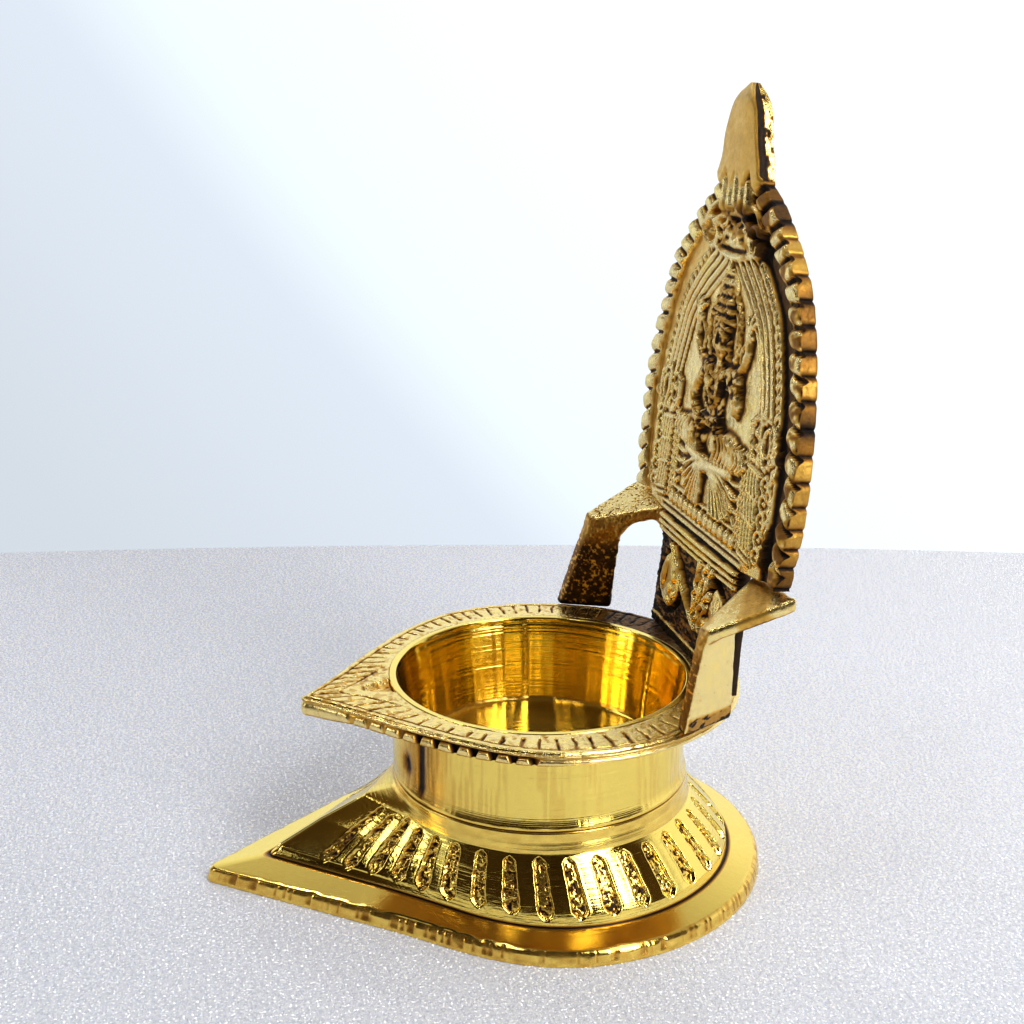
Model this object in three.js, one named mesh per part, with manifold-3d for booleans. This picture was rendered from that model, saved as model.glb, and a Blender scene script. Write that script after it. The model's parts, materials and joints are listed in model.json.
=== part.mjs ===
// Kamakshi oil lamp in cast and turned brass.
// Millimetres, +Z up. The beak of the oil bowl points to -Y and the upright plaque stands at +Y.
// The pieces are drawn about the bowl's axis, and the lamp is then centred over its foot.

import * as THREE from 'three';
import { mergeVertices } from 'three/addons/utils/BufferGeometryUtils.js';
import Module from 'manifold-3d';

const wasm = await Module();
wasm.setup();

// Clearances
const fitClearance = 0.3;
const seatGap = 0.3;

// Oil bowl: a turned cup with a lip, a floor and a threaded stud below
const mouthRadius = 25;
const mouthHeight = 34.7;
const bowlDepth = 15.8;
const bowlFloorRadius = 22.7;
const bowlThroatRadius = 23.9;
const bowlThroatDrop = 3.2;
const bowlWall = 1.2;
const bowlFloorThickness = 1.6;
const bowlFloorFillet = 1.2;
const lipWidth = 1.2;
const lipHeight = 1.2;
const studRadius = 3;
const studLength = 9;
const neckFlare = 0.6;
const neckFlareHeight = 2.5;

// Foot: a hollow casting with a teardrop outline and a fluted dome
const footRadius = 37.8;
const footCentreY = 1.6;
const footTipReach = 60;
const footTipShift = 2.4;
const footShiftSpan = 32;
const footEdgeHeight = 2.6;
const footEdgeDraft = 0.5;
const footTipRounding = 1.6;
const bandRise = 1;
const domeRadius = 31.9;
const domeTipReach = 49;
const domeTipRounding = 1.2;
const domeEdgeHeight = 5.2;
const domeEdgeInset = 0.3;
const domeEdgeTipInset = 1.6;
const domeTopHeight = 13.6;
const domeTopRadius = 26.2;
const domeTopReach = 31;
const domeBulge = 1.2;
const fluteDepth = 0.9;
const flutePitch = 5.6;
const fluteTipPitch = 4.9;
const fluteTipCount = 6;
const fluteTipStart = 10.3;
const fluteFloorShare = 0.36;
const crownRadius = 25.7;
const crownDrop = 2.1;
const footWall = 2.4;
const crownThickness = 2;

// Clamp under the crown
const washerRadius = 7;
const washerThickness = 1.2;
const nutAcrossCorners = 11;
const nutHeight = 4;

// Rim plate around the mouth, with its beak
const rimRadius = 33.5;
const rimCentreY = 0.8;
const rimTurn = 2.7;
const rimThickness = 2.8;
const rimLipHeight = 0.9;
const rimGrooveHeight = 0.3;
const rimGrooveDepth = 0.7;
const rollThickness = 2;
const beakReach = 41.3;
const beakHalfWidth = 1.1;
const beakStart = THREE.MathUtils.degToRad(78);
const beakShoulderSweep = 14.4;
const beakSweep = 8.6;
const beakTaper = THREE.MathUtils.degToRad(37);
const beakKeelDepth = 4.5;
const beakTipDepth = 0.6;
const wickChannelHalfWidth = 3.2;
const wickChannelDepth = 1.1;
const knobPitch = 4;
const knobDepth = 0.7;

// Plaque: a leaning back plate with a ribbed border, arches, a seated figure and a finial
const plaqueLean = THREE.MathUtils.degToRad(4.92);
const plaqueFrontY = 27.8;
const plaqueFootHeight = 56.8;
const plaqueHalfWidth = 34.6;
const plaqueShoulder = 22;
const plaqueHeight = 60;
const plaqueThickness = 2.4;
const plaqueCornerX = 35;
const plaqueCornerRise = 1.7;
const finialHalfWidth = 7.4;
const finialNeckFlare = 2.6;
const finialHeight = 75.8;
const finialShoulder = 5.4;
const finialWaist = 7;
const finialThickness = 3.2;
const finialProud = 1.8;
const ribPitch = 4.1;
const ribWidth = 4.8;
const ribHeight = 1.3;
const ribScallop = 0.5;
const ridgeInset = 7.8;
const ridgePitch = 2.1;
const ridgeCount = 4;
const ridgeWidth = 1.1;
const ridgeHeight = 0.9;
const ridgeSpring = 0.33;
const pillarHalfSpan = 20;
const pillarHalfWidth = 2.6;
const pillarTop = 17;
const pillarHeight = 1.4;
const capitalHalfWidth = 4.6;
const capitalHalfHeight = 3.6;
const crestHeight = 51.2;
const crestHalfWidth = 7;
const crestPetalHeight = 57;
const crestPetalCount = 5;
const crestPetalPitch = 3.6;

// Seated figure on its pedestal
const pedestalHalfWidth = 15;
const pedestalHeight = 3;
const pedestalRelief = 1.4;
const kneeSpan = 8;
const kneeHeight = 16.2;
const kneeHalfWidth = 6;
const kneeHalfHeight = 3.6;
const fanHeight = 9.2;
const fanSpan = 5;
const torsoMiddle = 24.6;
const torsoHalfWidth = 4.4;
const torsoHalfHeight = 7;
const headMiddle = 34.4;
const headRadius = 2.9;
const crownHeight = 9.5;
const armSpan = 9;
const figureRelief = 2.6;

// Centre panel between the arms
const panelTopHalfWidth = 18.2;
const panelFootHalfWidth = 19;
const panelThickness = 2.6;
const panelRidgeDrops = [1.2, 3];
const panelRidgeWidth = 1.2;
const panelRidgeHeight = 1.1;
const petalDrop = 11.5;
const petalHalfWidth = 4.6;
const petalHalfHeight = 8;
const petalSpacing = 10.5;
const petalRelief = 0.9;

// Arms: a leg on the rim and a strap that rises back to the plaque's corner
const armThickness = 3.2;
const legFrontY = 13;
const legFootDepth = 9.6;
const legTopDepth = 6.3;
const legInnerX = 29;
const legTurn = 0.45;
const shoulderThickness = 3.6;
const shoulderHeight = 51.8;
const shoulderTilt = 0.6;
const shoulderY = 17;
const shoulderInnerX = 28.8;
const gussetReach = 1.6;
const strapInnerX = 19.4;
const strapOuterX = 36.2;
const strapThickness = 2.4;
const lugMargin = 0.4;

// Worked out from the sizes above
const floorHeight = mouthHeight - bowlDepth;
const seatHeight = floorHeight - bowlFloorThickness;
const neckRadius = bowlThroatRadius + bowlWall;
const rimUnderside = mouthHeight - rimThickness;
const crownUnderside = seatHeight - crownThickness;
const washerUnderside = crownUnderside - washerThickness;
const lampShift = (footTipReach - footCentreY - (footRadius + footCentreY)) / 2;

const brass = {
  satin: { color: 0xc9a548, roughness: 0.34, metalness: 1 },
  polished: { color: 0xd9a520, roughness: 0.16, metalness: 1 },
  aged: { color: 0xa07c34, roughness: 0.45, metalness: 1 },
};

function mesh(name, geometry, finish) {
  const piece = new THREE.Mesh(geometry, new THREE.MeshStandardMaterial(finish));
  piece.name = name;
  return piece;
}

// Solids and booleans

function solid(geometry) {
  const bare = geometry.clone();
  for (const attribute of ['normal', 'uv']) {
    bare.deleteAttribute(attribute);
  }
  const merged = mergeVertices(bare, 1e-4);
  return new wasm.Manifold(new wasm.Mesh({
    numProp: 3,
    vertProperties: new Float32Array(merged.attributes.position.array),
    triVerts: new Uint32Array(merged.index.array),
  }));
}

function geometryOf(manifold) {
  const result = manifold.getMesh();
  const geometry = new THREE.BufferGeometry();
  geometry.setAttribute('position', new THREE.BufferAttribute(result.vertProperties, result.numProp));
  geometry.setIndex(new THREE.BufferAttribute(result.triVerts, 1));
  geometry.computeVertexNormals();
  return geometry;
}

function join(...solids) {
  return solids.reduce((sum, next) => sum.add(next));
}

// A closed skin over rings of equal length: tube-like when closed, or capped at both ends.
function loft(rings, closed = false) {
  const count = rings[0].length;
  const positions = rings.flat().flatMap((point) => [point.x, point.y, point.z]);
  const faces = [];
  const last = closed ? rings.length : rings.length - 1;
  for (let ring = 0; ring < last; ring += 1) {
    const here = ring * count;
    const there = ((ring + 1) % rings.length) * count;
    for (let step = 0; step < count; step += 1) {
      const next = (step + 1) % count;
      faces.push(here + step, here + next, there + next, here + step, there + next, there + step);
    }
  }
  if (!closed) {
    const end = (rings.length - 1) * count;
    for (let step = 1; step < count - 1; step += 1) {
      faces.push(0, step + 1, step);
      faces.push(end, end + step, end + step + 1);
    }
  }
  const geometry = new THREE.BufferGeometry();
  geometry.setAttribute('position', new THREE.Float32BufferAttribute(positions, 3));
  geometry.setIndex(faces);
  geometry.computeVertexNormals();
  return geometry;
}

// A six-sided block between two quads, each given anticlockwise as seen from the second quad.
function block(first, second) {
  return solid(loft([first, second]));
}

function point(x, y, z) {
  return new THREE.Vector3(x, y, z);
}

// Foot

// Distance from the centre of a teardrop to its edge, at an angle from its tip.
// The teardrop is a circle and a small tip circle, joined by their common tangents.
function teardropReach(angle, radius, reach, rounding) {
  const turn = Math.abs(angle);
  const span = reach - rounding;
  if (span <= radius - rounding) {
    return radius;
  }
  const tangent = Math.acos((radius - rounding) / span);
  const roundingEnd = Math.atan2(rounding * Math.sin(tangent), span + rounding * Math.cos(tangent));
  if (turn < roundingEnd) {
    return span * Math.cos(turn) + Math.sqrt(rounding ** 2 - (span * Math.sin(turn)) ** 2);
  }
  return turn < tangent ? radius / Math.cos(tangent - turn) : radius;
}

// Distances along the dome's outline from its tip to the middle of each flute on one side.
function fluteMiddles(halfLength) {
  const middles = [];
  for (let flute = 0; flute < fluteTipCount; flute += 1) {
    middles.push(fluteTipStart + flute * fluteTipPitch);
  }
  const last = middles[middles.length - 1];
  const count = Math.round((halfLength - last) / flutePitch - 0.5);
  const pitch = (halfLength - last) / (count + 0.5);
  for (let flute = 1; flute <= count; flute += 1) {
    middles.push(last + flute * pitch);
  }
  return middles;
}

// The foot's columns: an angle from the tip for each, and whether it lies on a flute's floor.
function footColumns() {
  const fine = 7200;
  const lengths = [0];
  const spot = (index) => {
    const angle = (index / fine) * Math.PI;
    const reach = teardropReach(angle, domeRadius, domeTipReach, domeTipRounding);
    return new THREE.Vector2(Math.sin(angle), Math.cos(angle)).multiplyScalar(reach);
  };
  for (let index = 1; index <= fine; index += 1) {
    lengths.push(lengths[index - 1] + spot(index).distanceTo(spot(index - 1)));
  }
  const halfLength = lengths[fine];
  const angleAt = (distance) => {
    const index = lengths.findIndex((length) => length >= distance);
    return (index / fine) * Math.PI;
  };
  const roundTip = [0.35, 0.9, 1.6, 4].map((distance) => ({ angle: angleAt(distance), floor: false }));
  const half = [...roundTip];
  const middles = fluteMiddles(halfLength);
  middles.forEach((middle, index) => {
    const before = index > 0 ? (middle - middles[index - 1]) / 2 : fluteTipPitch / 2;
    const reach = before * fluteFloorShare;
    half.push({ angle: angleAt(middle - before), floor: false });
    half.push({ angle: angleAt(middle - reach), floor: true });
    half.push({ angle: angleAt(middle + reach), floor: true });
  });
  const left = half.map(({ angle, floor }) => ({ angle: -angle, floor })).reverse();
  return [{ angle: Math.PI, floor: false }, ...left, { angle: 0, floor: false }, ...half];
}

const columns = footColumns();

// A level ring of the foot. Rings that reach well past their radius carry the tip's sideways shift.
function footRing(radius, reach, rounding, height, inset = 0, centreY = footCentreY) {
  const shift = footTipShift * THREE.MathUtils.clamp((reach - radius) / 10, 0, 1);
  return columns.map(({ angle, floor }) => {
    const distance = teardropReach(angle, radius, reach, rounding) - (floor ? inset : 0);
    const y = centreY - distance * Math.cos(angle);
    const share = THREE.MathUtils.smoothstep(-y, 0, footShiftSpan);
    return point(distance * Math.sin(angle) - shift * share, y, height);
  });
}

function roundRing(radius, height) {
  return columns.map(({ angle }) => point(radius * Math.sin(angle), -radius * Math.cos(angle), height));
}

// A ring of the dome at a share of the way from its edge to its top, moved inward by a wall.
function domeRing(share, inset, wall = 0) {
  const lerp = THREE.MathUtils.lerp;
  return footRing(
    lerp(domeRadius - domeEdgeInset, domeTopRadius, share ** domeBulge) - wall,
    lerp(domeTipReach - domeEdgeTipInset, domeTopReach, share) - 1.5 * wall,
    domeTipRounding,
    lerp(domeEdgeHeight, domeTopHeight, share) - wall,
    inset,
    footCentreY * (1 - share),
  );
}

function footGeometry() {
  const bandHeight = footEdgeHeight + bandRise;
  const rings = [
    footRing(footRadius, footTipReach, footTipRounding, 0),
    footRing(footRadius - footEdgeDraft, footTipReach - footEdgeDraft, footTipRounding, footEdgeHeight),
    footRing(domeRadius, domeTipReach, domeTipRounding, bandHeight),
  ];
  const fluteCuts = [[0, 0.4], [0.15, 1], [0.5, 1], [0.85, 0.9], [1, 0]];
  for (const [share, cut] of fluteCuts) {
    rings.push(domeRing(share, cut * fluteDepth));
  }
  rings.push(roundRing(domeTopRadius - 0.2, seatHeight - crownDrop));
  rings.push(roundRing(crownRadius, seatHeight));
  rings.push(roundRing(studRadius + fitClearance, seatHeight));
  rings.push(roundRing(studRadius + fitClearance, crownUnderside));
  rings.push(roundRing(domeTopRadius - 2 * footWall, crownUnderside));
  rings.push(domeRing(0.75, 0, footWall));
  rings.push(domeRing(0.1, 0, footWall));
  rings.push(footRing(domeRadius - footWall, domeTipReach - 2 * footWall, domeTipRounding, 0));
  return loft(rings, true);
}

// Bowl

function bowlGeometry() {
  const fillet = bowlFloorFillet;
  const outline = [
    [0, seatHeight - studLength],
    [studRadius, seatHeight - studLength],
    [studRadius, seatHeight],
    [neckRadius + neckFlare, seatHeight],
    [neckRadius + neckFlare * 0.3, seatHeight + neckFlareHeight * 0.4],
    [neckRadius, seatHeight + neckFlareHeight],
    [neckRadius, mouthHeight - lipHeight],
    [mouthRadius + lipWidth, mouthHeight - lipHeight],
    [mouthRadius + lipWidth, mouthHeight],
    [mouthRadius, mouthHeight],
    [bowlThroatRadius, mouthHeight - bowlThroatDrop],
    [bowlFloorRadius, floorHeight + fillet],
    [bowlFloorRadius - 0.3 * fillet, floorHeight + 0.3 * fillet],
    [bowlFloorRadius - fillet, floorHeight],
    [0, floorHeight],
  ];
  const profile = outline.map(([radius, height]) => new THREE.Vector2(radius, height));
  return new THREE.LatheGeometry(profile, 72).rotateX(Math.PI / 2);
}

// Rim plate

// Half of the plate's outline: a circle that runs into a beak by one smooth curve.
function rimOutline() {
  const start = new THREE.Vector2(
    rimRadius * Math.sin(beakStart),
    rimCentreY - rimRadius * Math.cos(beakStart),
  );
  const tip = new THREE.Vector2(beakHalfWidth, -beakReach);
  const leave = new THREE.Vector2(-Math.cos(beakStart), -Math.sin(beakStart));
  const arrive = new THREE.Vector2(Math.sin(beakTaper), Math.cos(beakTaper));
  const curve = new THREE.CubicBezierCurve(
    tip,
    tip.clone().addScaledVector(arrive, beakSweep),
    start.clone().addScaledVector(leave, beakShoulderSweep),
    start,
  );
  const beak = curve.getSpacedPoints(Math.round(curve.getLength() / knobPitch) * 4);
  const sweep = Math.PI - beakStart;
  const steps = Math.round((rimRadius * sweep) / knobPitch) * 2;
  const half = [...beak];
  for (let step = 1; step <= steps; step += 1) {
    const angle = beakStart + (sweep * step) / steps;
    half.push(new THREE.Vector2(rimRadius * Math.sin(angle), rimCentreY - rimRadius * Math.cos(angle)));
  }
  const mirrored = half.slice(0, -1).reverse().map((spot) => new THREE.Vector2(-spot.x, spot.y));
  return { outline: [...half, ...mirrored], knobSteps: beak.length };
}

function inwardNormals(outline) {
  return outline.map((spot, index) => {
    const before = outline[(index + outline.length - 1) % outline.length];
    const after = outline[(index + 1) % outline.length];
    const along = after.clone().sub(before).normalize();
    return new THREE.Vector2(-along.y, along.x);
  });
}

function rimGeometry() {
  const { outline, knobSteps } = rimOutline();
  const normals = inwardNormals(outline);
  const count = outline.length;
  const notch = (index) => {
    const fromTip = Math.min(index, count - 1 - index);
    return fromTip < knobSteps && fromTip % 4 === 2 ? knobDepth : 0;
  };
  const edge = (inset, height, notched = false) => outline.map((spot, index) => {
    const depth = inset + (notched ? notch(index) : 0);
    return point(spot.x + normals[index].x * depth, spot.y + normals[index].y * depth, height);
  });
  const hole = (radius, height) => outline.map((spot) => {
    const angle = Math.atan2(spot.y, spot.x);
    return point(radius * Math.cos(angle), radius * Math.sin(angle), height);
  });
  const boreRadius = neckRadius + fitClearance;
  const recessRadius = mouthRadius + lipWidth + fitClearance;
  const lipUnderside = mouthHeight - rimLipHeight;
  const rollTop = lipUnderside - rimGrooveHeight;
  const thickness = outline.map((spot) => THREE.MathUtils.lerp(
    rollThickness, rimThickness, THREE.MathUtils.smoothstep(-spot.y, 0, mouthRadius),
  ));
  const lower = (inset, share, notched) => edge(inset, 0, notched).map((spot, index) => {
    const underside = mouthHeight - thickness[index];
    return spot.setZ(THREE.MathUtils.lerp(underside, rollTop, share));
  });
  const plate = loft([
    lower(rimGrooveDepth, 0, false),
    lower(0, 0.5, true),
    lower(rimGrooveDepth / 3, 1, true),
    edge(rimGrooveDepth, rollTop + rimGrooveHeight / 2),
    edge(0, lipUnderside),
    edge(0, mouthHeight),
    hole(recessRadius, mouthHeight),
    hole(recessRadius, mouthHeight - lipHeight - seatGap),
    hole(boreRadius, mouthHeight - lipHeight - seatGap),
    hole(boreRadius, rimUnderside),
  ], true);
  const keelBack = -boreRadius - fitClearance;
  const keelFront = -beakReach + 2 * beakHalfWidth;
  const keelRoof = rimUnderside + rimThickness / 3;
  const keel = block(
    [
      point(-beakHalfWidth, keelBack, rimUnderside - beakKeelDepth),
      point(-beakHalfWidth / 2, keelFront, rimUnderside - beakTipDepth),
      point(beakHalfWidth / 2, keelFront, rimUnderside - beakTipDepth),
      point(beakHalfWidth, keelBack, rimUnderside - beakKeelDepth),
    ],
    [
      point(-4 * beakHalfWidth, keelBack, keelRoof),
      point(-beakHalfWidth, keelFront, keelRoof),
      point(beakHalfWidth, keelFront, keelRoof),
      point(4 * beakHalfWidth, keelBack, keelRoof),
    ],
  );
  const channelFront = -beakReach + beakHalfWidth;
  const channel = block(
    [
      point(0.1, -mouthRadius - lipWidth, mouthHeight - wickChannelDepth),
      point(-0.1, -mouthRadius - lipWidth, mouthHeight - wickChannelDepth),
      point(-0.1, channelFront, mouthHeight - wickChannelDepth / 3),
      point(0.1, channelFront, mouthHeight - wickChannelDepth / 3),
    ],
    [
      point(wickChannelHalfWidth, -mouthRadius - lipWidth, mouthHeight + seatGap),
      point(-wickChannelHalfWidth, -mouthRadius - lipWidth, mouthHeight + seatGap),
      point(-beakHalfWidth / 3, channelFront, mouthHeight + seatGap),
      point(beakHalfWidth / 3, channelFront, mouthHeight + seatGap),
    ],
  );
  const lugs = [1, -1].map((side) => {
    const corner = (x, y, z) => point(side * x, y, z);
    const quad = (height) => legFootQuad(corner, height, lugMargin);
    const [low, high] = [quad(rimUnderside + rimThickness / 4), quad(mouthHeight)];
    return side > 0 ? block(low, high) : block(low.reverse(), high.reverse());
  });
  const whole = solid(plate).add(keel).subtract(channel).add(lugs[0]).add(lugs[1]);
  return geometryOf(whole.rotate([0, 0, rimTurn]));
}

// Plaque, drawn flat: x across, y up its face and z out of its front

function plaqueCurve() {
  return new THREE.CatmullRomCurve3([
    point(plaqueCornerX, plaqueCornerRise, 0),
    point(plaqueHalfWidth, plaqueShoulder * 0.34, 0),
    point(plaqueHalfWidth, plaqueShoulder * 0.75, 0),
    point(plaqueHalfWidth * 0.965, plaqueShoulder * 1.2, 0),
    point(plaqueHalfWidth * 0.86, plaqueHeight * 0.655, 0),
    point(plaqueHalfWidth * 0.73, plaqueHeight * 0.79, 0),
    point(plaqueHalfWidth * 0.5, plaqueHeight * 0.905, 0),
    point(finialHalfWidth * 0.9, plaqueHeight * 0.985, 0),
    point(0, plaqueHeight, 0),
  ]);
}

function finialOutline() {
  const neck = plaqueHeight - finialShoulder / 2;
  const shoulder = finialHeight - finialShoulder;
  const waist = plaqueHeight + finialWaist;
  const outline = new THREE.Shape();
  outline.moveTo(-finialHalfWidth - finialNeckFlare, neck);
  outline.lineTo(finialHalfWidth + finialNeckFlare, neck);
  outline.bezierCurveTo(
    finialHalfWidth, plaqueHeight + 1,
    finialHalfWidth, waist,
    finialHalfWidth * 0.76, shoulder,
  );
  outline.quadraticCurveTo(finialHalfWidth * 0.5, finialHeight - 1.2, 0, finialHeight);
  outline.quadraticCurveTo(-finialHalfWidth * 0.5, finialHeight - 1.2, -finialHalfWidth * 0.76, shoulder);
  outline.bezierCurveTo(
    -finialHalfWidth, waist,
    -finialHalfWidth, plaqueHeight + 1,
    -finialHalfWidth - finialNeckFlare, neck,
  );
  return outline;
}

function extrude(outline, depth, back) {
  const geometry = new THREE.ExtrudeGeometry(outline, {
    depth, bevelEnabled: false, curveSegments: 10,
  });
  return solid(geometry.translate(0, 0, back));
}

// The arch from one lower corner over the top to the other, moved inward by an inset.
function archPath(inset, steps) {
  const right = plaqueCurve().getSpacedPoints(steps);
  const full = [...right, ...right.slice(0, -1).reverse().map((spot) => point(-spot.x, spot.y, 0))];
  return full.map((spot, index) => {
    const before = full[Math.max(index - 1, 0)];
    const after = full[Math.min(index + 1, full.length - 1)];
    const along = after.clone().sub(before).normalize();
    return point(spot.x - along.y * inset, spot.y + along.x * inset, 0);
  });
}

// A raised strip along the arch, with an inner inset, an outer inset and a height at each step.
function archStrip(inner, outer, height, steps, back, start = 0) {
  const skipped = Math.round(start * steps);
  const inside = archPath(inner, steps).slice(skipped, 2 * steps + 1 - skipped);
  const span = archPath(0, steps).slice(skipped, 2 * steps + 1 - skipped);
  return solid(loft(inside.map((spot, index) => {
    const edge = span[index];
    const width = inner - outer(index);
    const out = edge.clone().sub(spot).setLength(width);
    const rise = height(index);
    return [
      point(spot.x, spot.y, back),
      point(spot.x, spot.y, rise * 0.55),
      point(spot.x + out.x * 0.25, spot.y + out.y * 0.25, rise),
      point(spot.x + out.x * 0.75, spot.y + out.y * 0.75, rise),
      point(spot.x + out.x, spot.y + out.y, rise * 0.4),
      point(spot.x + out.x, spot.y + out.y, back),
    ];
  })));
}

function ellipsoid(x, y, z, halfWidth, halfHeight, relief) {
  const ball = new THREE.SphereGeometry(1, 10, 6);
  ball.scale(halfWidth, halfHeight, relief);
  return solid(ball.translate(x, y, z));
}

function slab(x, y, halfWidth, halfHeight, relief) {
  const depth = relief + plaqueThickness / 2;
  const box = new THREE.BoxGeometry(2 * halfWidth, 2 * halfHeight, depth);
  return solid(box.translate(x, y, relief - depth / 2));
}

function seatedFigure() {
  const relief = figureRelief;
  const crown = new THREE.ConeGeometry(headRadius, crownHeight, 12);
  crown.translate(0, headMiddle + headRadius + crownHeight / 2 - 1, 0);
  const parts = [
    slab(0, pedestalHeight / 2 + 1, pedestalHalfWidth, pedestalHeight / 2, pedestalRelief),
    ellipsoid(0, kneeHeight - 2, 0, kneeSpan, kneeHalfHeight, relief),
    ellipsoid(0, torsoMiddle, 0, torsoHalfWidth, torsoHalfHeight, relief),
    ellipsoid(0, headMiddle, 0, headRadius, headRadius * 1.15, relief),
    solid(crown),
  ];
  for (const side of [-1, 1]) {
    parts.push(ellipsoid(side * kneeSpan, kneeHeight, 0, kneeHalfWidth, kneeHalfHeight, relief * 0.9));
    parts.push(ellipsoid(side * fanSpan, fanHeight, 0, fanSpan, fanSpan * 0.8, relief * 0.6));
    parts.push(ellipsoid(side * armSpan * 0.72, torsoMiddle + 4, 0, armSpan * 0.42, 2, relief * 0.75));
    parts.push(ellipsoid(side * armSpan, torsoMiddle - 2, 0, 2.2, 4.4, relief * 0.7));
    parts.push(ellipsoid(side * armSpan, torsoMiddle + 9, 0, 2, 4.6, relief * 0.7));
  }
  return parts;
}

function pillars() {
  const parts = [];
  for (const side of [-1, 1]) {
    const x = side * pillarHalfSpan;
    const outer = side * (pillarHalfSpan + 2.2 * pillarHalfWidth);
    const middle = pillarTop / 2 + 1.5;
    parts.push(slab(x, middle, pillarHalfWidth, pillarTop / 2 - 1.5, pillarHeight));
    parts.push(slab(outer, middle - 1, pillarHalfWidth * 0.6, pillarTop / 2 - 3, pillarHeight * 0.8));
    parts.push(slab(x, pillarTop, pillarHalfWidth * 1.3, 0.9, pillarHeight * 1.3));
    parts.push(ellipsoid(
      x + side * pillarHalfWidth / 2, pillarTop + capitalHalfHeight + 1, 0,
      capitalHalfWidth, capitalHalfHeight, pillarHeight,
    ));
  }
  return parts;
}

function crest() {
  const parts = [ellipsoid(0, crestHeight, 0, crestHalfWidth, crestHalfWidth * 0.45, figureRelief * 0.7)];
  for (let petal = 0; petal < crestPetalCount; petal += 1) {
    const x = (petal - (crestPetalCount - 1) / 2) * crestPetalPitch;
    parts.push(ellipsoid(x, crestPetalHeight, 0, crestPetalPitch * 0.48, crestPetalPitch * 0.8, figureRelief * 0.55));
  }
  return parts;
}

// The plaque's outline: the scalloped arch, closed by a foot that rises to both corners.
function plaqueOutline(steps) {
  const arch = archPath(ribScallop, steps).slice(1, -1).map((spot) => new THREE.Vector2(spot.x, spot.y));
  return new THREE.Shape([
    new THREE.Vector2(-plaqueCornerX + ribScallop, plaqueCornerRise),
    new THREE.Vector2(-strapInnerX, 0),
    new THREE.Vector2(strapInnerX, 0),
    new THREE.Vector2(plaqueCornerX - ribScallop, plaqueCornerRise),
    ...arch,
  ]);
}

function plaqueGeometry() {
  const length = plaqueCurve().getLength();
  const ribSteps = Math.round(length / ribPitch) * 4;
  const lobe = (index) => [0, 0.8, 1, 0.8][index % 4];
  const back = -plaqueThickness;
  const inner = back + plaqueThickness / 6;
  const parts = [
    extrude(finialOutline(), finialThickness, finialProud - finialThickness),
    archStrip(
      ribWidth,
      (index) => ribScallop * (1 - lobe(index)) - ribScallop / 2,
      (index) => ribHeight * (0.45 + 0.55 * lobe(index)),
      ribSteps,
      inner,
    ),
  ];
  for (let ridge = 0; ridge < ridgeCount; ridge += 1) {
    const inset = ridgeInset + ridge * ridgePitch;
    const start = ridge === 0 ? 0 : ridgeSpring;
    parts.push(archStrip(inset + ridgeWidth, () => inset, () => ridgeHeight, 16, inner, start));
  }
  const plate = extrude(plaqueOutline(ribSteps / 2), plaqueThickness, back);
  return geometryOf(join(plate, ...parts, ...seatedFigure(), ...pillars(), ...crest()));
}

// Centre panel, drawn in the plaque's own plane, below it

function panelGeometry() {
  const foot = -(plaqueFootHeight - mouthHeight) / Math.cos(plaqueLean);
  const body = new THREE.Shape([
    new THREE.Vector2(-panelFootHalfWidth, foot),
    new THREE.Vector2(panelFootHalfWidth, foot),
    new THREE.Vector2(panelTopHalfWidth, -seatGap),
    new THREE.Vector2(-panelTopHalfWidth, -seatGap),
  ]);
  const parts = [];
  const ridgeDepth = panelRidgeHeight + panelThickness / 2;
  for (const drop of panelRidgeDrops) {
    const ridge = new THREE.BoxGeometry(2 * panelTopHalfWidth, panelRidgeWidth, ridgeDepth);
    parts.push(solid(ridge.translate(0, -seatGap - drop, panelRidgeHeight - ridgeDepth / 2)));
  }
  for (const place of [-1, 0, 1]) {
    parts.push(ellipsoid(place * petalSpacing, -petalDrop, 0, petalHalfWidth, petalHalfHeight, petalRelief));
  }
  const plate = join(extrude(body, panelThickness, -panelThickness), ...parts);
  const underRim = new THREE.BoxGeometry(4 * panelFootHalfWidth, mouthRadius, mouthRadius);
  underRim.translate(0, foot - mouthRadius / 2 + seatGap * 2, 0);
  return geometryOf(plate.subtract(solid(underRim)));
}

// Arms

// The outline of a leg's foot, inner front corner first and anticlockwise for the right leg.
function legFootQuad(corner, height, margin = 0) {
  const across = armThickness + margin;
  const depth = legFootDepth + margin;
  return [
    corner(legInnerX - margin, legFrontY - margin, height),
    corner(legInnerX + across, legFrontY - margin, height),
    corner(legInnerX + across - legTurn * depth, legFrontY + depth + legTurn * across / 2, height),
    corner(legInnerX - margin - legTurn * depth, legFrontY + depth - legTurn * across / 2, height),
  ];
}

// The legs' feet turn with the rim plate, while their shoulders stay square to the plaque.
function turned(points) {
  return points.map((spot) => spot.applyAxisAngle(point(0, 0, 1), THREE.MathUtils.degToRad(rimTurn)));
}

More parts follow.
